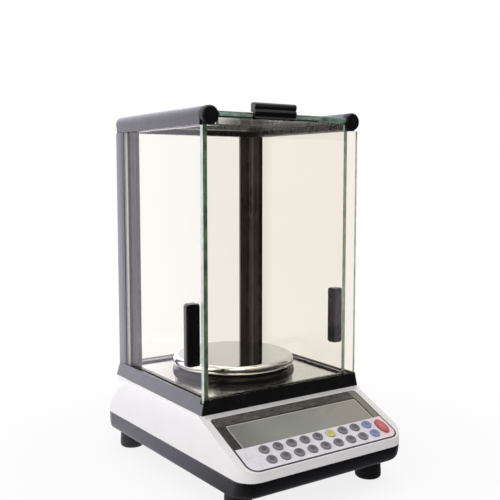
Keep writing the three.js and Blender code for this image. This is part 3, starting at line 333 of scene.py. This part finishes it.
def from_outline(t, across, down):
    """How far a place on the panel lies from its rounded outline, in mm, negative inside."""
    x = t.math("SUBTRACT", t.math("ABSOLUTE", across), PANEL_W - PANEL_R)
    y = t.math("SUBTRACT", down, PANEL_H - PANEL_R)
    corner = t.length(t.math("MAXIMUM", x, 0.0), t.math("MAXIMUM", y, 0.0))
    inner = t.math("MINIMUM", t.math("MAXIMUM", x, y), 0.0)
    return t.math("SUBTRACT", t.math("ADD", corner, inner), PANEL_R)


def from_nearest(t, value, first, pitch):
    """How far a place lies from the nearest of evenly spaced centres."""
    along = t.math("SUBTRACT", value, first - 1.5 * pitch)
    return t.math("SUBTRACT", t.math("MODULO", along, pitch), pitch / 2)


def panel_film(name):
    """Printed film on the slope: dark surround of the window, pale key field, dark outline; a painted pink
    glow around the red key and a painted sheen on the right of the surround.
    """
    t = Tree(name)
    across, down = on_slope(t)
    mottle = t.noise(120, detail=4, rough=0.6)
    speck = t.noise(420, detail=3, rough=0.7, stretch=(0.35, 1, 1))
    pale = t.blend(t.spread(mottle, 0, 1), srgb(0xD8D2DA), srgb(0xE4DFE5))
    # Painted glow: the pale field turns pink around the red key, standing in for its red light falling on the
    # film.
    painted_red_glow = between(t, across, 60, 90, soft=8)
    pale = t.blend(t.math("MULTIPLY", painted_red_glow, 0.6), pale, srgb(0xE9CBCB))
    ink = t.blend(t.spread(mottle, 0, 1), srgb(0x141215), srgb(0x222024))
    strip = t.blend(t.spread(speck, 0, 1, 0.35, 0.65), srgb(0x2A2627), srgb(0x5F5853))
    ink = t.blend(between(t, down, -5, DISPLAY_TOP - 0.3, soft=0.6), ink, strip)
    # Painted reflection: the right strip of the dark surround turns a paler brown, a sheen painted into the
    # ink.
    painted_sheen = t.blend(t.spread(speck, 0, 1), srgb(0x6F665D), srgb(0x8B8175))
    ink = t.blend(between(t, across, DISPLAY_W + 0.8, 90, soft=1.5), ink, painted_sheen)
    base = t.blend(between(t, down, -5, DARK_FIELD_FOOT), pale, ink)
    line = t.blend(t.spread(mottle, 0, 1), srgb(0x2B2627), srgb(0x453D3C))
    base = t.blend(between(t, from_outline(t, across, down), -1.25, 9, soft=0.25), base, line)
    fine = t.noise(1500, detail=2, rough=0.5)
    film = t.shader(base, t.spread(mottle, 0.24, 0.36), normal=t.bump(fine, 0.3, 0.00001))
    film.inputs["Specular IOR Level"].default_value = 0.3
    return t.finish(film)


def display_glass(name):
    """The window: a clear glossy lens over a grey-green display, with a fine light frame line, a painted
    shade towards the left and a painted warm reflection towards the right.
    """
    t = Tree(name)
    across, down = on_slope(t)
    side = t.math("ABSOLUTE", across)
    mottle = t.noise(30, detail=3, rough=0.5)
    grey = t.blend(t.spread(mottle, 0, 1), srgb(0x80827B), srgb(0x8B8D85))
    # Painted light: the display turns warmer and paler towards the right, a painted reflection, and darker
    # towards the left, a painted shade.
    painted_warm_reflection = between(t, across, 30, 90, soft=34)
    grey = t.blend(t.math("MULTIPLY", painted_warm_reflection, 0.75), grey, srgb(0x958A7E))
    painted_left_shade = between(t, across, -120, -50, soft=30)
    grey = t.blend(t.math("MULTIPLY", painted_left_shade, 0.7), grey, srgb(0x5E5C5C))
    line_side = between(t, side, DISPLAY_W - DISPLAY_LINE, DISPLAY_W, soft=0.1)
    line_top = between(t, down, DISPLAY_TOP, DISPLAY_TOP + DISPLAY_LINE, soft=0.1)
    within = t.math("MULTIPLY", between(t, side, -1, DISPLAY_W), between(t, down, DISPLAY_TOP, DISPLAY_FOOT))
    line = t.math("MULTIPLY", t.math("MAXIMUM", line_side, line_top), within)
    base = t.blend(within, srgb(0x141214), grey)
    base = t.blend(line, base, srgb(0xBDB9B0))
    return t.finish(t.shader(base, t.spread(mottle, 0.05, 0.09)))


def key_top(name, rim, middle, tall=False):
    """Soft key, printed darker or lighter towards its middle, with a matt grain."""
    t = Tree(name)
    across, down = on_slope(t)
    if tall:
        x = t.math("SUBTRACT", across, TALL_KEY[0])
        y = t.math("MULTIPLY", t.math("SUBTRACT", down, TALL_KEY[1]), 0.55)
    else:
        x = from_nearest(t, across, FIRST_KEY[0], KEY_PITCH)
        y = from_nearest(t, down, FIRST_KEY[1], ROW_PITCH)
    mottle = t.noise(700, detail=4, rough=0.7)
    edge = t.math("ADD", t.math("MULTIPLY", t.length(x, y), 0.22), t.spread(mottle, -0.25, 0.25))
    base = t.blend(t.spread(edge, 0, 1, 0.3, 0.95), middle, rim)
    fine = t.noise(2500, detail=2, rough=0.6)
    return t.finish(t.shader(base, t.spread(mottle, 0.42, 0.55), normal=t.bump(fine, 0.5, 0.00002)))


def board(name):
    """Circuit board with a pattern of tracks."""
    t = Tree(name)
    tracks = t.put("ShaderNodeTexBrick", Scale=220)
    t.link(t.where(), tracks.inputs["Vector"])
    base = t.blend(tracks.outputs["Fac"], srgb(0x1F6B3C), srgb(0x3D8B55))
    return t.finish(t.shader(base, t.spread(t.noise(300), 0.3, 0.5)))


MATERIALS = {
    "white_housing": moulded("WhiteHousing", srgb(0xE4E1E0), 0.36, grain=1100, variation=0.03, coat=0.1),
    "black_housing": moulded("BlackTray", srgb(0x020203), 0.27, variation=0.15, dust_share=0.001, ior=1.65),
    "foot_rubber": moulded(
        "FootRubber", srgb(0x08080A), 0.6, grain=700, depth=0.00006, variation=0.2, dust_share=0.003
    ),
    "panel_sheet": panel_film("PanelFilm"),
    "clear_window": display_glass("DisplayWindow"),
    "display": moulded("Display", srgb(0x8A8C82), 0.4),
    "circuit_board": board("CircuitBoard"),
    "aluminium": machined("Aluminium", srgb(0xC2C4C8), 0.38),
    "polished_steel": polished("PolishedSteel", (0.6, 0.6, 0.59), 0.035),
    "black_frame": moulded(
        "BlackFrame", srgb(0x070708), 0.22, grain=1000, depth=0.00002, variation=0.2,
        dust_share=0.001, ior=1.7,
    ),
    "black_profile": anodised("BlackProfile", srgb(0x15120F), 0.28),
    "black_plastic": moulded(
        "BlackPlastic", srgb(0x060607), 0.24, grain=1200, depth=0.00002, variation=0.2, dust_share=0.001
    ),
    "port_metal": machined("PortMetal", srgb(0xC8C8C8), 0.3),
    "grey_key": key_top("GreyKey", srgb(0x78767C), srgb(0x454348)),
    "blue_key": key_top("BlueKey", srgb(0x7F8DB0), srgb(0x5E6D9C)),
    "lime_key": key_top("LimeKey", srgb(0xC4C287), srgb(0xB2B056)),
    "red_key": key_top("RedKey", srgb(0xA84A4C), srgb(0xCC665F), tall=True),
}
FLOOR_STEEL = polished("FloorSteel", (0.6, 0.595, 0.58), 0.13)
# Painted light: the black rear posts take a brown grey far paler than the other black profiles, standing in
# for window light and glass reflections on them.
POST_PAINTED_SHEEN = anodised("PostBlack", srgb(0x3E3833), 0.3, ior=1.6)
STRIP_BLACK = anodised("StripBlack", srgb(0x1B1816), 0.25, ior=1.9)
CAP_BLACK = knurled("CapBlack", srgb(0x050506), 0.42)
COLLAR_BLACK = moulded(
    "CollarBlack", srgb(0x080706), 0.12, grain=1200, depth=0.00001, variation=0.2, dust_share=0.001, ior=1.24
)
OWN_MATERIAL = {
    "floor_plate": FLOOR_STEEL,
    "left_rear_post": POST_PAINTED_SHEEN,
    "right_rear_post": POST_PAINTED_SHEEN,
    "left_guide_strip": STRIP_BLACK,
    "right_guide_strip": STRIP_BLACK,
    "left_rail_front_cap": CAP_BLACK,
    "right_rail_front_cap": CAP_BLACK,
}

# Panes: the axis through the glass, its tint, and its ground edges
ACROSS, ALONG, UP = 0, 1, 2
PALE_EDGE = (srgb(0x97A79D), srgb(0xC4D2C8))
DARK_EDGE = (srgb(0x3A4C49), srgb(0x86A293))
# Painted highlight on the left door's rear edge.
PAINTED_EDGE_HIGHLIGHT = srgb(0xF2F6F4)
# Painted shade for the top pane's underside at grazing angles.
PAINTED_UNDERSIDE_SHADE = (0.16, 0.17, 0.16)
PANES = {
    "front_glass": clear_pane("PaneFront", (0.985, 0.94, 0.86), ALONG, PALE_EDGE),
    "rear_glass": clear_pane("PaneRear", (1.0, 0.992, 0.975), ALONG, PALE_EDGE),
    "left_door": clear_pane(
        "PaneLeft", (0.955, 0.925, 0.88), ACROSS, DARK_EDGE, ior=1.18, rear_highlight=PAINTED_EDGE_HIGHLIGHT
    ),
    "right_door": clear_pane("PaneRight", (0.92, 0.912, 0.875), ACROSS, PALE_EDGE, ior=1.23),
    "top_door": clear_pane("PaneTop", (0.92, 0.945, 0.92), UP, DARK_EDGE, grazing_shade=PAINTED_UNDERSIDE_SHADE),
}


# Mesh helpers
def smoothing_group():
    """A geometry node group that welds split corners and shades smooth below an angle."""
    tree = bpy.data.node_groups.new("SoftShade", "GeometryNodeTree")
    tree.interface.new_socket("Geometry", in_out="INPUT", socket_type="NodeSocketGeometry")
    tree.interface.new_socket("Geometry", in_out="OUTPUT", socket_type="NodeSocketGeometry")
    start = tree.nodes.new("NodeGroupInput")
    end = tree.nodes.new("NodeGroupOutput")
    weld = tree.nodes.new("GeometryNodeMergeByDistance")
    weld.inputs["Distance"].default_value = WELD_M
    bare = tree.nodes.new("GeometryNodeRemoveAttribute")
    bare.inputs["Name"].default_value = "custom_normal"
    smooth = tree.nodes.new("GeometryNodeSetShadeSmooth")
    edges = tree.nodes.new("GeometryNodeSetShadeSmooth")
    edges.domain = "EDGE"
    angle = tree.nodes.new("GeometryNodeInputMeshEdgeAngle")
    flat = tree.nodes.new("FunctionNodeCompare")
    flat.operation = "LESS_THAN"
    flat.inputs[1].default_value = math.radians(CREASE)
    tree.links.new(start.outputs[0], weld.inputs["Geometry"])
    tree.links.new(weld.outputs["Geometry"], bare.inputs["Geometry"])
    tree.links.new(bare.outputs["Geometry"], smooth.inputs["Geometry"])
    tree.links.new(smooth.outputs["Geometry"], edges.inputs["Geometry"])
    tree.links.new(angle.outputs["Unsigned Angle"], flat.inputs[0])
    tree.links.new(flat.outputs["Result"], edges.inputs["Shade Smooth"])
    tree.links.new(edges.outputs["Geometry"], end.inputs[0])
    return tree


SOFT_SHADE = smoothing_group()


def soften(obj, width, segments=2, limit=CREASE):
    """Welds, rounds the sharp edges by a width in mm, and shades the rest smooth."""
    weld = obj.modifiers.new("Weld", "WELD")
    weld.merge_threshold = WELD_M
    if width:
        bevel = obj.modifiers.new("Bevel", "BEVEL")
        bevel.width = width * MM
        bevel.segments = segments
        bevel.limit_method = "ANGLE"
        bevel.angle_limit = math.radians(limit)
        bevel.use_clamp_overlap = True
    shade_nodes = obj.modifiers.new("SoftShade", "NODES")
    shade_nodes.node_group = SOFT_SHADE
    even = obj.modifiers.new("EvenNormals", "WEIGHTED_NORMAL")
    even.keep_sharp = True
    even.weight = 100


def face_outwards(mesh):
    bm = bmesh.new()
    bm.from_mesh(mesh)
    bmesh.ops.recalc_face_normals(bm, faces=bm.faces)
    bm.to_mesh(mesh)
    bm.free()


def new_object(name, verts, faces, material, body, slot):
    """A piece in the scene from points in mm, riding on its body."""
    mesh = bpy.data.meshes.new(name)
    mesh.from_pydata([tuple(c * MM for c in v) for v in verts], [], faces)
    mesh.validate()
    obj = bpy.data.objects.new(name, mesh)
    SCENE.collection.objects.link(obj)
    mesh.materials.append(material)
    face_outwards(mesh)
    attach(obj, body)
    return obj


def arc(cx, cy, r, start, end, steps):
    """Points of an arc between two angles in degrees."""
    turn = [math.radians(start + (end - start) * i / steps) for i in range(steps + 1)]
    return [(cx + r * math.cos(a), cy + r * math.sin(a)) for a in turn]


def lathe(profile, steps, x=0.0, y=0.0, closed=False):
    """Vertices and faces of a profile of radius and height turned about Z, from axis to axis or closed."""
    verts, faces, rings = [], [], []
    for radius, z in profile:
        if radius < WELD_M:
            rings.append([len(verts)])
            verts.append((x, y, z))
            continue
        rings.append(list(range(len(verts), len(verts) + steps)))
        for i in range(steps):
            a = 2 * math.pi * i / steps
            verts.append((x + radius * math.cos(a), y + radius * math.sin(a), z))
    following = rings[1:] + rings[:1] if closed else rings[1:]
    for low, high in zip(rings, following):
        for i in range(steps):
            j = (i + 1) % steps
            quad = [low[i % len(low)], low[j % len(low)], high[j % len(high)], high[i % len(high)]]
            face = [v for k, v in enumerate(quad) if v not in quad[:k]]
            if len(face) > 2:
                faces.append(face)
    return verts, faces


def loft(levels):
    """Vertices and faces of a closed skin over outlines stacked at their heights."""
    count = len(levels[0][1])
    verts = [(x, y, z) for z, points in levels for x, y in points]
    faces = []
    for k in range(len(levels) - 1):
        for i in range(count):
            a, b = k * count + i, k * count + (i + 1) % count
            faces.append([a, b, b + count, a + count])
    faces.append(list(range(count))[::-1])
    faces.append(list(range((len(levels) - 1) * count, len(levels) * count)))
    return verts, faces


def slab(x0, x1, y0, y1, z0, z1):
    return loft([(z, [(x0, y0), (x1, y0), (x1, y1), (x0, y1)]) for z in (z0, z1)])


def outline(front_half, rear_half, front, rear, r_front, r_rear, steps=14):
    """An outline with its own half width and corner radius at the front and at the rear."""
    return (
        arc(front_half - r_front, front + r_front, r_front, -90, 0, steps)
        + arc(rear_half - r_rear, rear - r_rear, r_rear, 0, 90, steps)
        + arc(r_rear - rear_half, rear - r_rear, r_rear, 90, 180, steps)
        + arc(r_front - front_half, front + r_front, r_front, 180, 270, steps)
    )


def cut(obj, verts, faces, operation="DIFFERENCE", transform=None):
    """Cuts another solid out of an object, or joins it, for good."""
    mesh = bpy.data.meshes.new("cutter")
    mesh.from_pydata([tuple(c * MM for c in v) for v in verts], [], faces)
    if transform is not None:
        mesh.transform(transform)
    face_outwards(mesh)
    tool = bpy.data.objects.new("cutter", mesh)
    SCENE.collection.objects.link(tool)
    boolean = obj.modifiers.new("Cut", "BOOLEAN")
    boolean.operation = operation
    boolean.solver = "EXACT"
    boolean.object = tool
    bpy.context.view_layer.update()
    done = bpy.data.meshes.new_from_object(obj.evaluated_get(bpy.context.evaluated_depsgraph_get()))
    obj.modifiers.clear()
    old = obj.data
    obj.data = done
    bpy.data.meshes.remove(old)
    bpy.data.objects.remove(tool)
    bpy.data.meshes.remove(mesh)


# Housing
def crown(share):
    """How far the cover has drawn in at a share of its height, from 0 to 1."""
    return 1 - math.sqrt(max(0.0, 1 - share * share))


def housing_levels(count=30):
    levels = [(SPLIT, outline(HOUSE_FRONT_W, HOUSE_W, -HOUSE_D, HOUSE_D, FRONT_R, REAR_R))]
    for i in range(count + 1):
        share = math.sin(math.pi / 2 * i / count)
        rise = crown(share)
        levels.append((
            CROWN_Z + share * (HOUSE_TOP - CROWN_Z),
            outline(
                HOUSE_FRONT_W - (HOUSE_FRONT_W - CROWN_TOP_W) * rise,
                HOUSE_W - (HOUSE_W - CROWN_TOP_W) * rise,
                -HOUSE_D,
                HOUSE_D - REAR_CROWN * rise,
                FRONT_R,
                REAR_R + CORNER_CROWN * rise,
            ),
        ))
    return levels


def panel_outline(grow):
    """The film's outline on the slope, grown by a gap."""
    left, right = PANEL_R - PANEL_W, PANEL_W - PANEL_R
    foot = PANEL_R - PANEL_H
    return (
        arc(PANEL_W - PANEL_TOP_R, -PANEL_TOP_R, PANEL_TOP_R + grow, 0, 90, 4)
        + arc(PANEL_TOP_R - PANEL_W, -PANEL_TOP_R, PANEL_TOP_R + grow, 90, 180, 4)
        + arc(left, foot, PANEL_R + grow, 180, 270, 10)
        + arc(right, foot, PANEL_R + grow, 270, 360, 10)
    )


def build_housing():
    cover = new_object(
        "housing_cover", *loft(housing_levels()), MATERIALS["white_housing"], "base", "white_housing"
    )
    cut(cover, *slab(-100, 100, -160, 20, 0, 80), transform=PANEL)
    seat = outline(SEAT_W, SEAT_W, SEAT_FRONT, SEAT_REAR, SEAT_R, SEAT_R, 4)
    cut(cover, *loft([(CROWN_Z, seat), (HOUSE_TOP, seat)]), operation="UNION")
    recess = panel_outline(PANEL_GAP)
    cut(cover, *loft([(-RECESS_DEPTH, recess), (ABOVE, recess)]), transform=PANEL)
    for bay in (WINDOW_BAY, KEY_BAY):
        cut(cover, *slab(*bay, -BAY_DEPTH, ABOVE), transform=PANEL)
    for x, wide, high in SOCKETS:
        reach, rise = wide / 2 + SOCKET_GAP, high / 2 + SOCKET_GAP
        cut(cover, *slab(x - reach, x + reach, 105, 135, SOCKET_Z - rise, SOCKET_Z + rise))
    soften(cover, 0.6, 3, 28)
    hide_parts("upper_housing")


def build_tray():
    top = SPLIT - SPLIT_GAP
    shares = [0, 0.02, 0.05, 0.09, 0.14, 0.2, 0.28, 0.4, 0.6, 0.8, 0.96, 1]
    sides = [2.8, 2.0, 1.4, 1.05, 0.8, 0.62, 0.46, 0.34, 0.22, 0.12, 0.05, 0.25]
    fronts = [13.0, 11.2, 9.2, 7.4, 5.8, 4.4, 3.0, 1.8, 0.8, 0.3, 0.08, 0.25]
    levels = []
    for share, side, front in zip(shares, sides, fronts):
        levels.append((
            TRAY_BOTTOM + share * (top - TRAY_BOTTOM),
            outline(
                HOUSE_FRONT_W - side, HOUSE_W - side, front - HOUSE_D, HOUSE_D - side,
                FRONT_R - side, REAR_R - side,
            ),
        ))
    tray = new_object("housing_tray", *loft(levels), MATERIALS["black_housing"], "base", "black_housing")
    low, high = FOOT_BORE
    for x, y in FEET.values():
        cut(tray, *lathe([(0, low), (FOOT_BORE_R, low), (FOOT_BORE_R, high), (0, high)], 32, x, y))
    soften(tray, 0.3, 2, 50)
    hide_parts("lower_housing")


# Pan and collar
def build_pan():
    roll_x, roll_z = PAN_R - PAN_ROLL, PAN_TOP - PAN_ROLL
    turn_x, turn_z = PAN_R - PAN_TURN, PAN_FOOT + PAN_TURN
    profile = [(0, PAN_TOP), (PAN_R * 0.5, PAN_TOP)]
    profile += arc(roll_x, roll_z, PAN_ROLL, 90, 0, 16)
    profile += arc(turn_x, turn_z, PAN_TURN, 0, -90, 12)
    profile += arc(turn_x, turn_z, PAN_TURN - PAN_WALL, -90, 0, 10)
    profile += arc(roll_x, roll_z, PAN_ROLL - PAN_WALL, 0, 90, 12)
    profile += [(0, PAN_TOP - PAN_WALL)]
    verts, faces = lathe(profile, TURNED_STEPS, *PAN_CENTRE)
    pan = new_object("pan_dish", verts, faces, MATERIALS["polished_steel"], "pan", "polished_steel")
    soften(pan, 0)
    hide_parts("weighing_pan")


def build_collar():
    top = PLATE_TOP + COLLAR_HIGH
    shoulder, inner = COLLAR_R - COLLAR_CURVE, COLLAR_R - COLLAR_WALL
    profile = [
        (shoulder + COLLAR_CURVE * x, PLATE_TOP + COLLAR_HIGH * z)
        for x, z in arc(0, 0, 1, 0, 90, 14)
    ]
    profile += [(inner, top), (inner, PLATE_TOP)]
    verts, faces = lathe(profile, TURNED_STEPS, *PAN_CENTRE, closed=True)
    collar = new_object("collar_ring", verts, faces, COLLAR_BLACK, "base", "black_plastic")
    soften(collar, 0)
    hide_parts("pan_collar")


# Feet
def ribbed(vertex, x, y):
    """Draws a point of a foot's grip in, in even ribs about its middle."""
    vx, vy, vz = vertex
    if not RIB_LOW < vz < RIB_HIGH:
        return vertex
    around = math.atan2(vy - y, vx - x)
    pull = 1 - RIB_SHARE * (0.5 + 0.5 * math.cos(around * RIB_COUNT))
    return x + (vx - x) * pull, y + (vy - y) * pull, vz


def build_feet():
    top = TRAY_BOTTOM - FOOT_GAP
    profile = [(0, 0), (8.6, 0)] + arc(9, 3, 3, -90, 0, 8)[1:]
    profile += [(11.9, 8.2), (11.7, 8.8), (11.6, 16.4), (11.3, 17), (11.2, top), (FOOT_STUD_R, top)]
    profile += [(FOOT_STUD_R, top + FOOT_STUD_HIGH), (0, top + FOOT_STUD_HIGH)]
    for name, (x, y) in FEET.items():
        verts, faces = lathe(profile, 96, x, y)
        verts = [ribbed(v, x, y) for v in verts]
        foot = new_object(name + "_pad", verts, faces, MATERIALS["foot_rubber"], name, "foot_rubber")
        soften(foot, 0)
        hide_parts(name)


# Keys
def key_places():
    """Name, middle on the slope, size and slot of every key."""
    places = []
    for row, label in enumerate(("upper", "lower")):
        for column in range(9):
            kind = "blue_key" if column == 8 else "grey_key"
            if row == 0 and column == 5:
                kind = "lime_key"
            middle = (FIRST_KEY[0] + KEY_PITCH * column, FIRST_KEY[1] + ROW_PITCH * row)
            places.append((f"key_{label}_{column + 1}", middle, KEY_SIZE, kind))
    places.append(("key_tall_red", TALL_KEY, TALL_KEY_SIZE, "red_key"))
    return places


def build_keys():
    rings = [(1.6, -2.4), (1.6, -1.3), (0, -1.3), (0, 0.7)]
    rings += [(-0.9 * (1 - math.cos(a)), 0.7 + 0.8 * math.sin(a)) for a in (0.4, 0.8, 1.15, 1.5)]
    rings += [(-3.2, 1.53), (-6.2, 1.5)]
    around = [2 * math.pi * i / 40 for i in range(40)]
    for name, (x, down), (wide, high), kind in key_places():
        levels = []
        for grow, z in rings:
            half_wide, half_high = (wide + grow) / 2, (high + grow) / 2
            levels.append((z, [(half_wide * math.cos(a), half_high * math.sin(a)) for a in around]))
        verts, faces = loft(levels)
        spots = [PANEL @ Vector(((vx + x) * MM, (vy - down) * MM, vz * MM)) for vx, vy, vz in verts]
        verts = [tuple(c / MM for c in spot) for spot in spots]
        key = new_object(name + "_cap", verts, faces, MATERIALS[kind], name, kind)
        soften(key, 0)
        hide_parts(name)


# Carried-over nodes
THIN_NODES = ("display_board", "main_board", "front_panel", "display_window", "floor_plate")


def dress_nodes():
    """Gives every CAD node that stays its material, and softens all but the panes."""
    for name, obj in NODES.items():
        if obj.hide_render:
            continue
        material = PANES.get(name) or OWN_MATERIAL.get(name) or MATERIALS[SLOTS[name]]
        if not obj.data.materials:
            obj.data.materials.append(material)
        for slot in obj.material_slots:
            slot.link = "OBJECT"
            slot.material = material
        if name in PANES:
            continue
        if name in THIN_NODES:
            soften(obj, 0)
        elif "cap" in name or "rail" in name:
            soften(obj, 0.2, 2, 50)
        else:
            soften(obj, 0.4, 2, 40)


# Stage and lights: what the glossy surfaces mirror, by heading in radians, distance in m or height
LAVENDER = (0.9, 0.88, 1.0)
PLAIN_WHITE = (1, 1, 1)
REAR_GLOW, CEILING_GLOW = 2.3, 0.9
GLOW_FROM, GLOW_TO = (-1.1, -0.75), (0.4, 0.54)
CEILING_FROM = (0.3, 0.62)
FRONT_DARK = 0.05
SHADOW_REACH = (0.12, 0.42)
NEAR_FLOOR = (0.25, 0.6)
FAR_FLOOR, FAR_HEADING, FAR_DARK = (1.2, 1.8), (0.47, 0.54), 0.95
FLOOR_HALF = 8.0


def seen_straight(t, path):
    """1 for what is seen directly or straight through glass, and 0 for what is reflected."""
    unbroken = t.math("LESS_THAN", path.outputs["Glossy Depth"], 0.5)
    through = t.math("MULTIPLY", path.outputs["Is Transmission Ray"], unbroken)
    return t.math("MAXIMUM", path.outputs["Is Camera Ray"], through)


def rear_glow(t, heading):
    """1 towards the bright rear left, 0 elsewhere."""
    return t.math("MULTIPLY", t.smooth(heading, *GLOW_FROM), t.smooth(heading, *GLOW_TO, 1.0, 0.0))


def build_stage():
    """A plain pale floor: white to the eye, with the object's shadow, and darker in front in reflections."""
    verts = [(x * FLOOR_HALF, y * FLOOR_HALF, 0) for x, y in ((-1, -1), (1, -1), (1, 1), (-1, 1))]
    mesh = bpy.data.meshes.new("studio_floor")
    mesh.from_pydata(verts, [], [(0, 1, 2, 3)])
    floor = bpy.data.objects.new("studio_floor", mesh)
    SCENE.collection.objects.link(floor)
    t = Tree("StudioFloor")
    base = t.blend(t.spread(t.noise(3), 0, 1), (0.84, 0.84, 0.84), (0.86, 0.86, 0.86))
    matte = t.put("ShaderNodeBsdfDiffuse")
    t.link(base, matte.inputs["Color"])
    x, y, _ = t.split(t.where())
    length = t.put("ShaderNodeVectorMath", operation="LENGTH")
    t.link(t.where(), length.inputs[0])
    away = length.outputs["Value"]
    whiteness = t.smooth(away, *SHADOW_REACH, 0.84, 1.0)
    ahead = t.smooth(y, -0.2, 0.15, FRONT_DARK, 1.0)
    heading = t.math("ARCTAN2", t.math("SUBTRACT", x, 0.1), t.math("ADD", y, 0.3))
    glow = rear_glow(t, heading)
    near = t.smooth(away, *NEAR_FLOOR, 1.0, 0.0)
    gain = t.math("ADD", t.math("MULTIPLY", glow, t.math("SUBTRACT", REAR_GLOW - 1, near)), 1.0)
    past = t.math("MULTIPLY", t.smooth(away, *FAR_FLOOR), t.smooth(heading, *FAR_HEADING))
    gain = t.math("MULTIPLY", gain, t.math("SUBTRACT", 1.0, t.math("MULTIPLY", past, FAR_DARK)))
    mirrored = t.put("ShaderNodeEmission")
    t.link(t.blend(glow, PLAIN_WHITE, LAVENDER), mirrored.inputs["Color"])
    t.link(t.math("MULTIPLY", ahead, gain), mirrored.inputs["Strength"])
    white = t.put("ShaderNodeEmission")
    path = t.put("ShaderNodeLightPath")
    look = t.mixed(t.math("MULTIPLY", seen_straight(t, path), whiteness), matte, white)
    in_mirror = t.math("GREATER_THAN", path.outputs["Glossy Depth"], 0.5)
    mesh.materials.append(t.finish(t.mixed(in_mirror, look, mirrored)))


def area_light(name, place, size, power, color=PLAIN_WHITE):
    """A rectangular lamp turned to the middle of the object."""
    data = bpy.data.lights.new(name, "AREA")
    data.shape = "RECTANGLE"
    data.size, data.size_y = size
    data.energy = power
    data.color = color
    obj = bpy.data.objects.new(name, data)
    obj.location = place
    obj.rotation_euler = (Vector((0, 0, 0.15)) - Vector(place)).to_track_quat("-Z", "Y").to_euler()
    SCENE.collection.objects.link(obj)


def build_lights():
    area_light("window_left", (-1.9, 0.2, 1.0), (1.6, 1.6), 20, (0.98, 0.985, 1.0))
    area_light("soft_top", (0.2, -0.2, 2.2), (2.0, 2.0), 16.5)
    area_light("fill_front", (-0.9, -1.7, 1.9), (1.2, 1.2), 9.5, (1.0, 0.985, 0.97))


def build_world():
    """Even light, a white background, and in reflections a bright rear left and ceiling and a dark front."""
    t = Tree("studio", world=True)
    x, y, z = t.split(t.coords.outputs["Generated"])
    glow = rear_glow(t, t.math("ARCTAN2", x, y))
    depth = t.smooth(y, -0.55, 0.15, FRONT_DARK, 1.0)
    gain = t.math("ADD", t.math("MULTIPLY", glow, REAR_GLOW - 1), 1.0)
    ceiling = t.smooth(z, *CEILING_FROM, 0.0, CEILING_GLOW)
    glossy = t.put("ShaderNodeBackground")
    t.link(t.blend(glow, PLAIN_WHITE, LAVENDER), glossy.inputs["Color"])
    t.link(t.math("MAXIMUM", t.math("MULTIPLY", depth, gain), ceiling), glossy.inputs["Strength"])
    ambient = t.put("ShaderNodeBackground", Color=(0.96, 0.97, 1.0, 1), Strength=0.5)
    white = t.put("ShaderNodeBackground", Color=(1, 1, 1, 1), Strength=1.0)
    path = t.put("ShaderNodeLightPath")
    rest = t.mixed(path.outputs["Is Glossy Ray"], ambient, glossy)
    SCENE.world = t.finish(t.mixed(seen_straight(t, path), rest, white))


def build_camera():
    """The photo's camera, as fitted to the object's straight edges."""
    data = bpy.data.cameras.new("camera")
    data.sensor_width = 36
    data.lens = 55.564
    obj = bpy.data.objects.new("camera", data)
    obj.location = (-0.40916, -0.60788, 0.27779)
    obj.rotation_euler = (math.radians(90 - 5.517), 0, math.radians(-34.282))
    SCENE.collection.objects.link(obj)
    SCENE.camera = obj


build_housing()
build_tray()
build_pan()
build_collar()
build_feet()
build_keys()
dress_nodes()
build_stage()
build_lights()
build_world()
build_camera()
SCENE.view_settings.view_transform = "Standard"
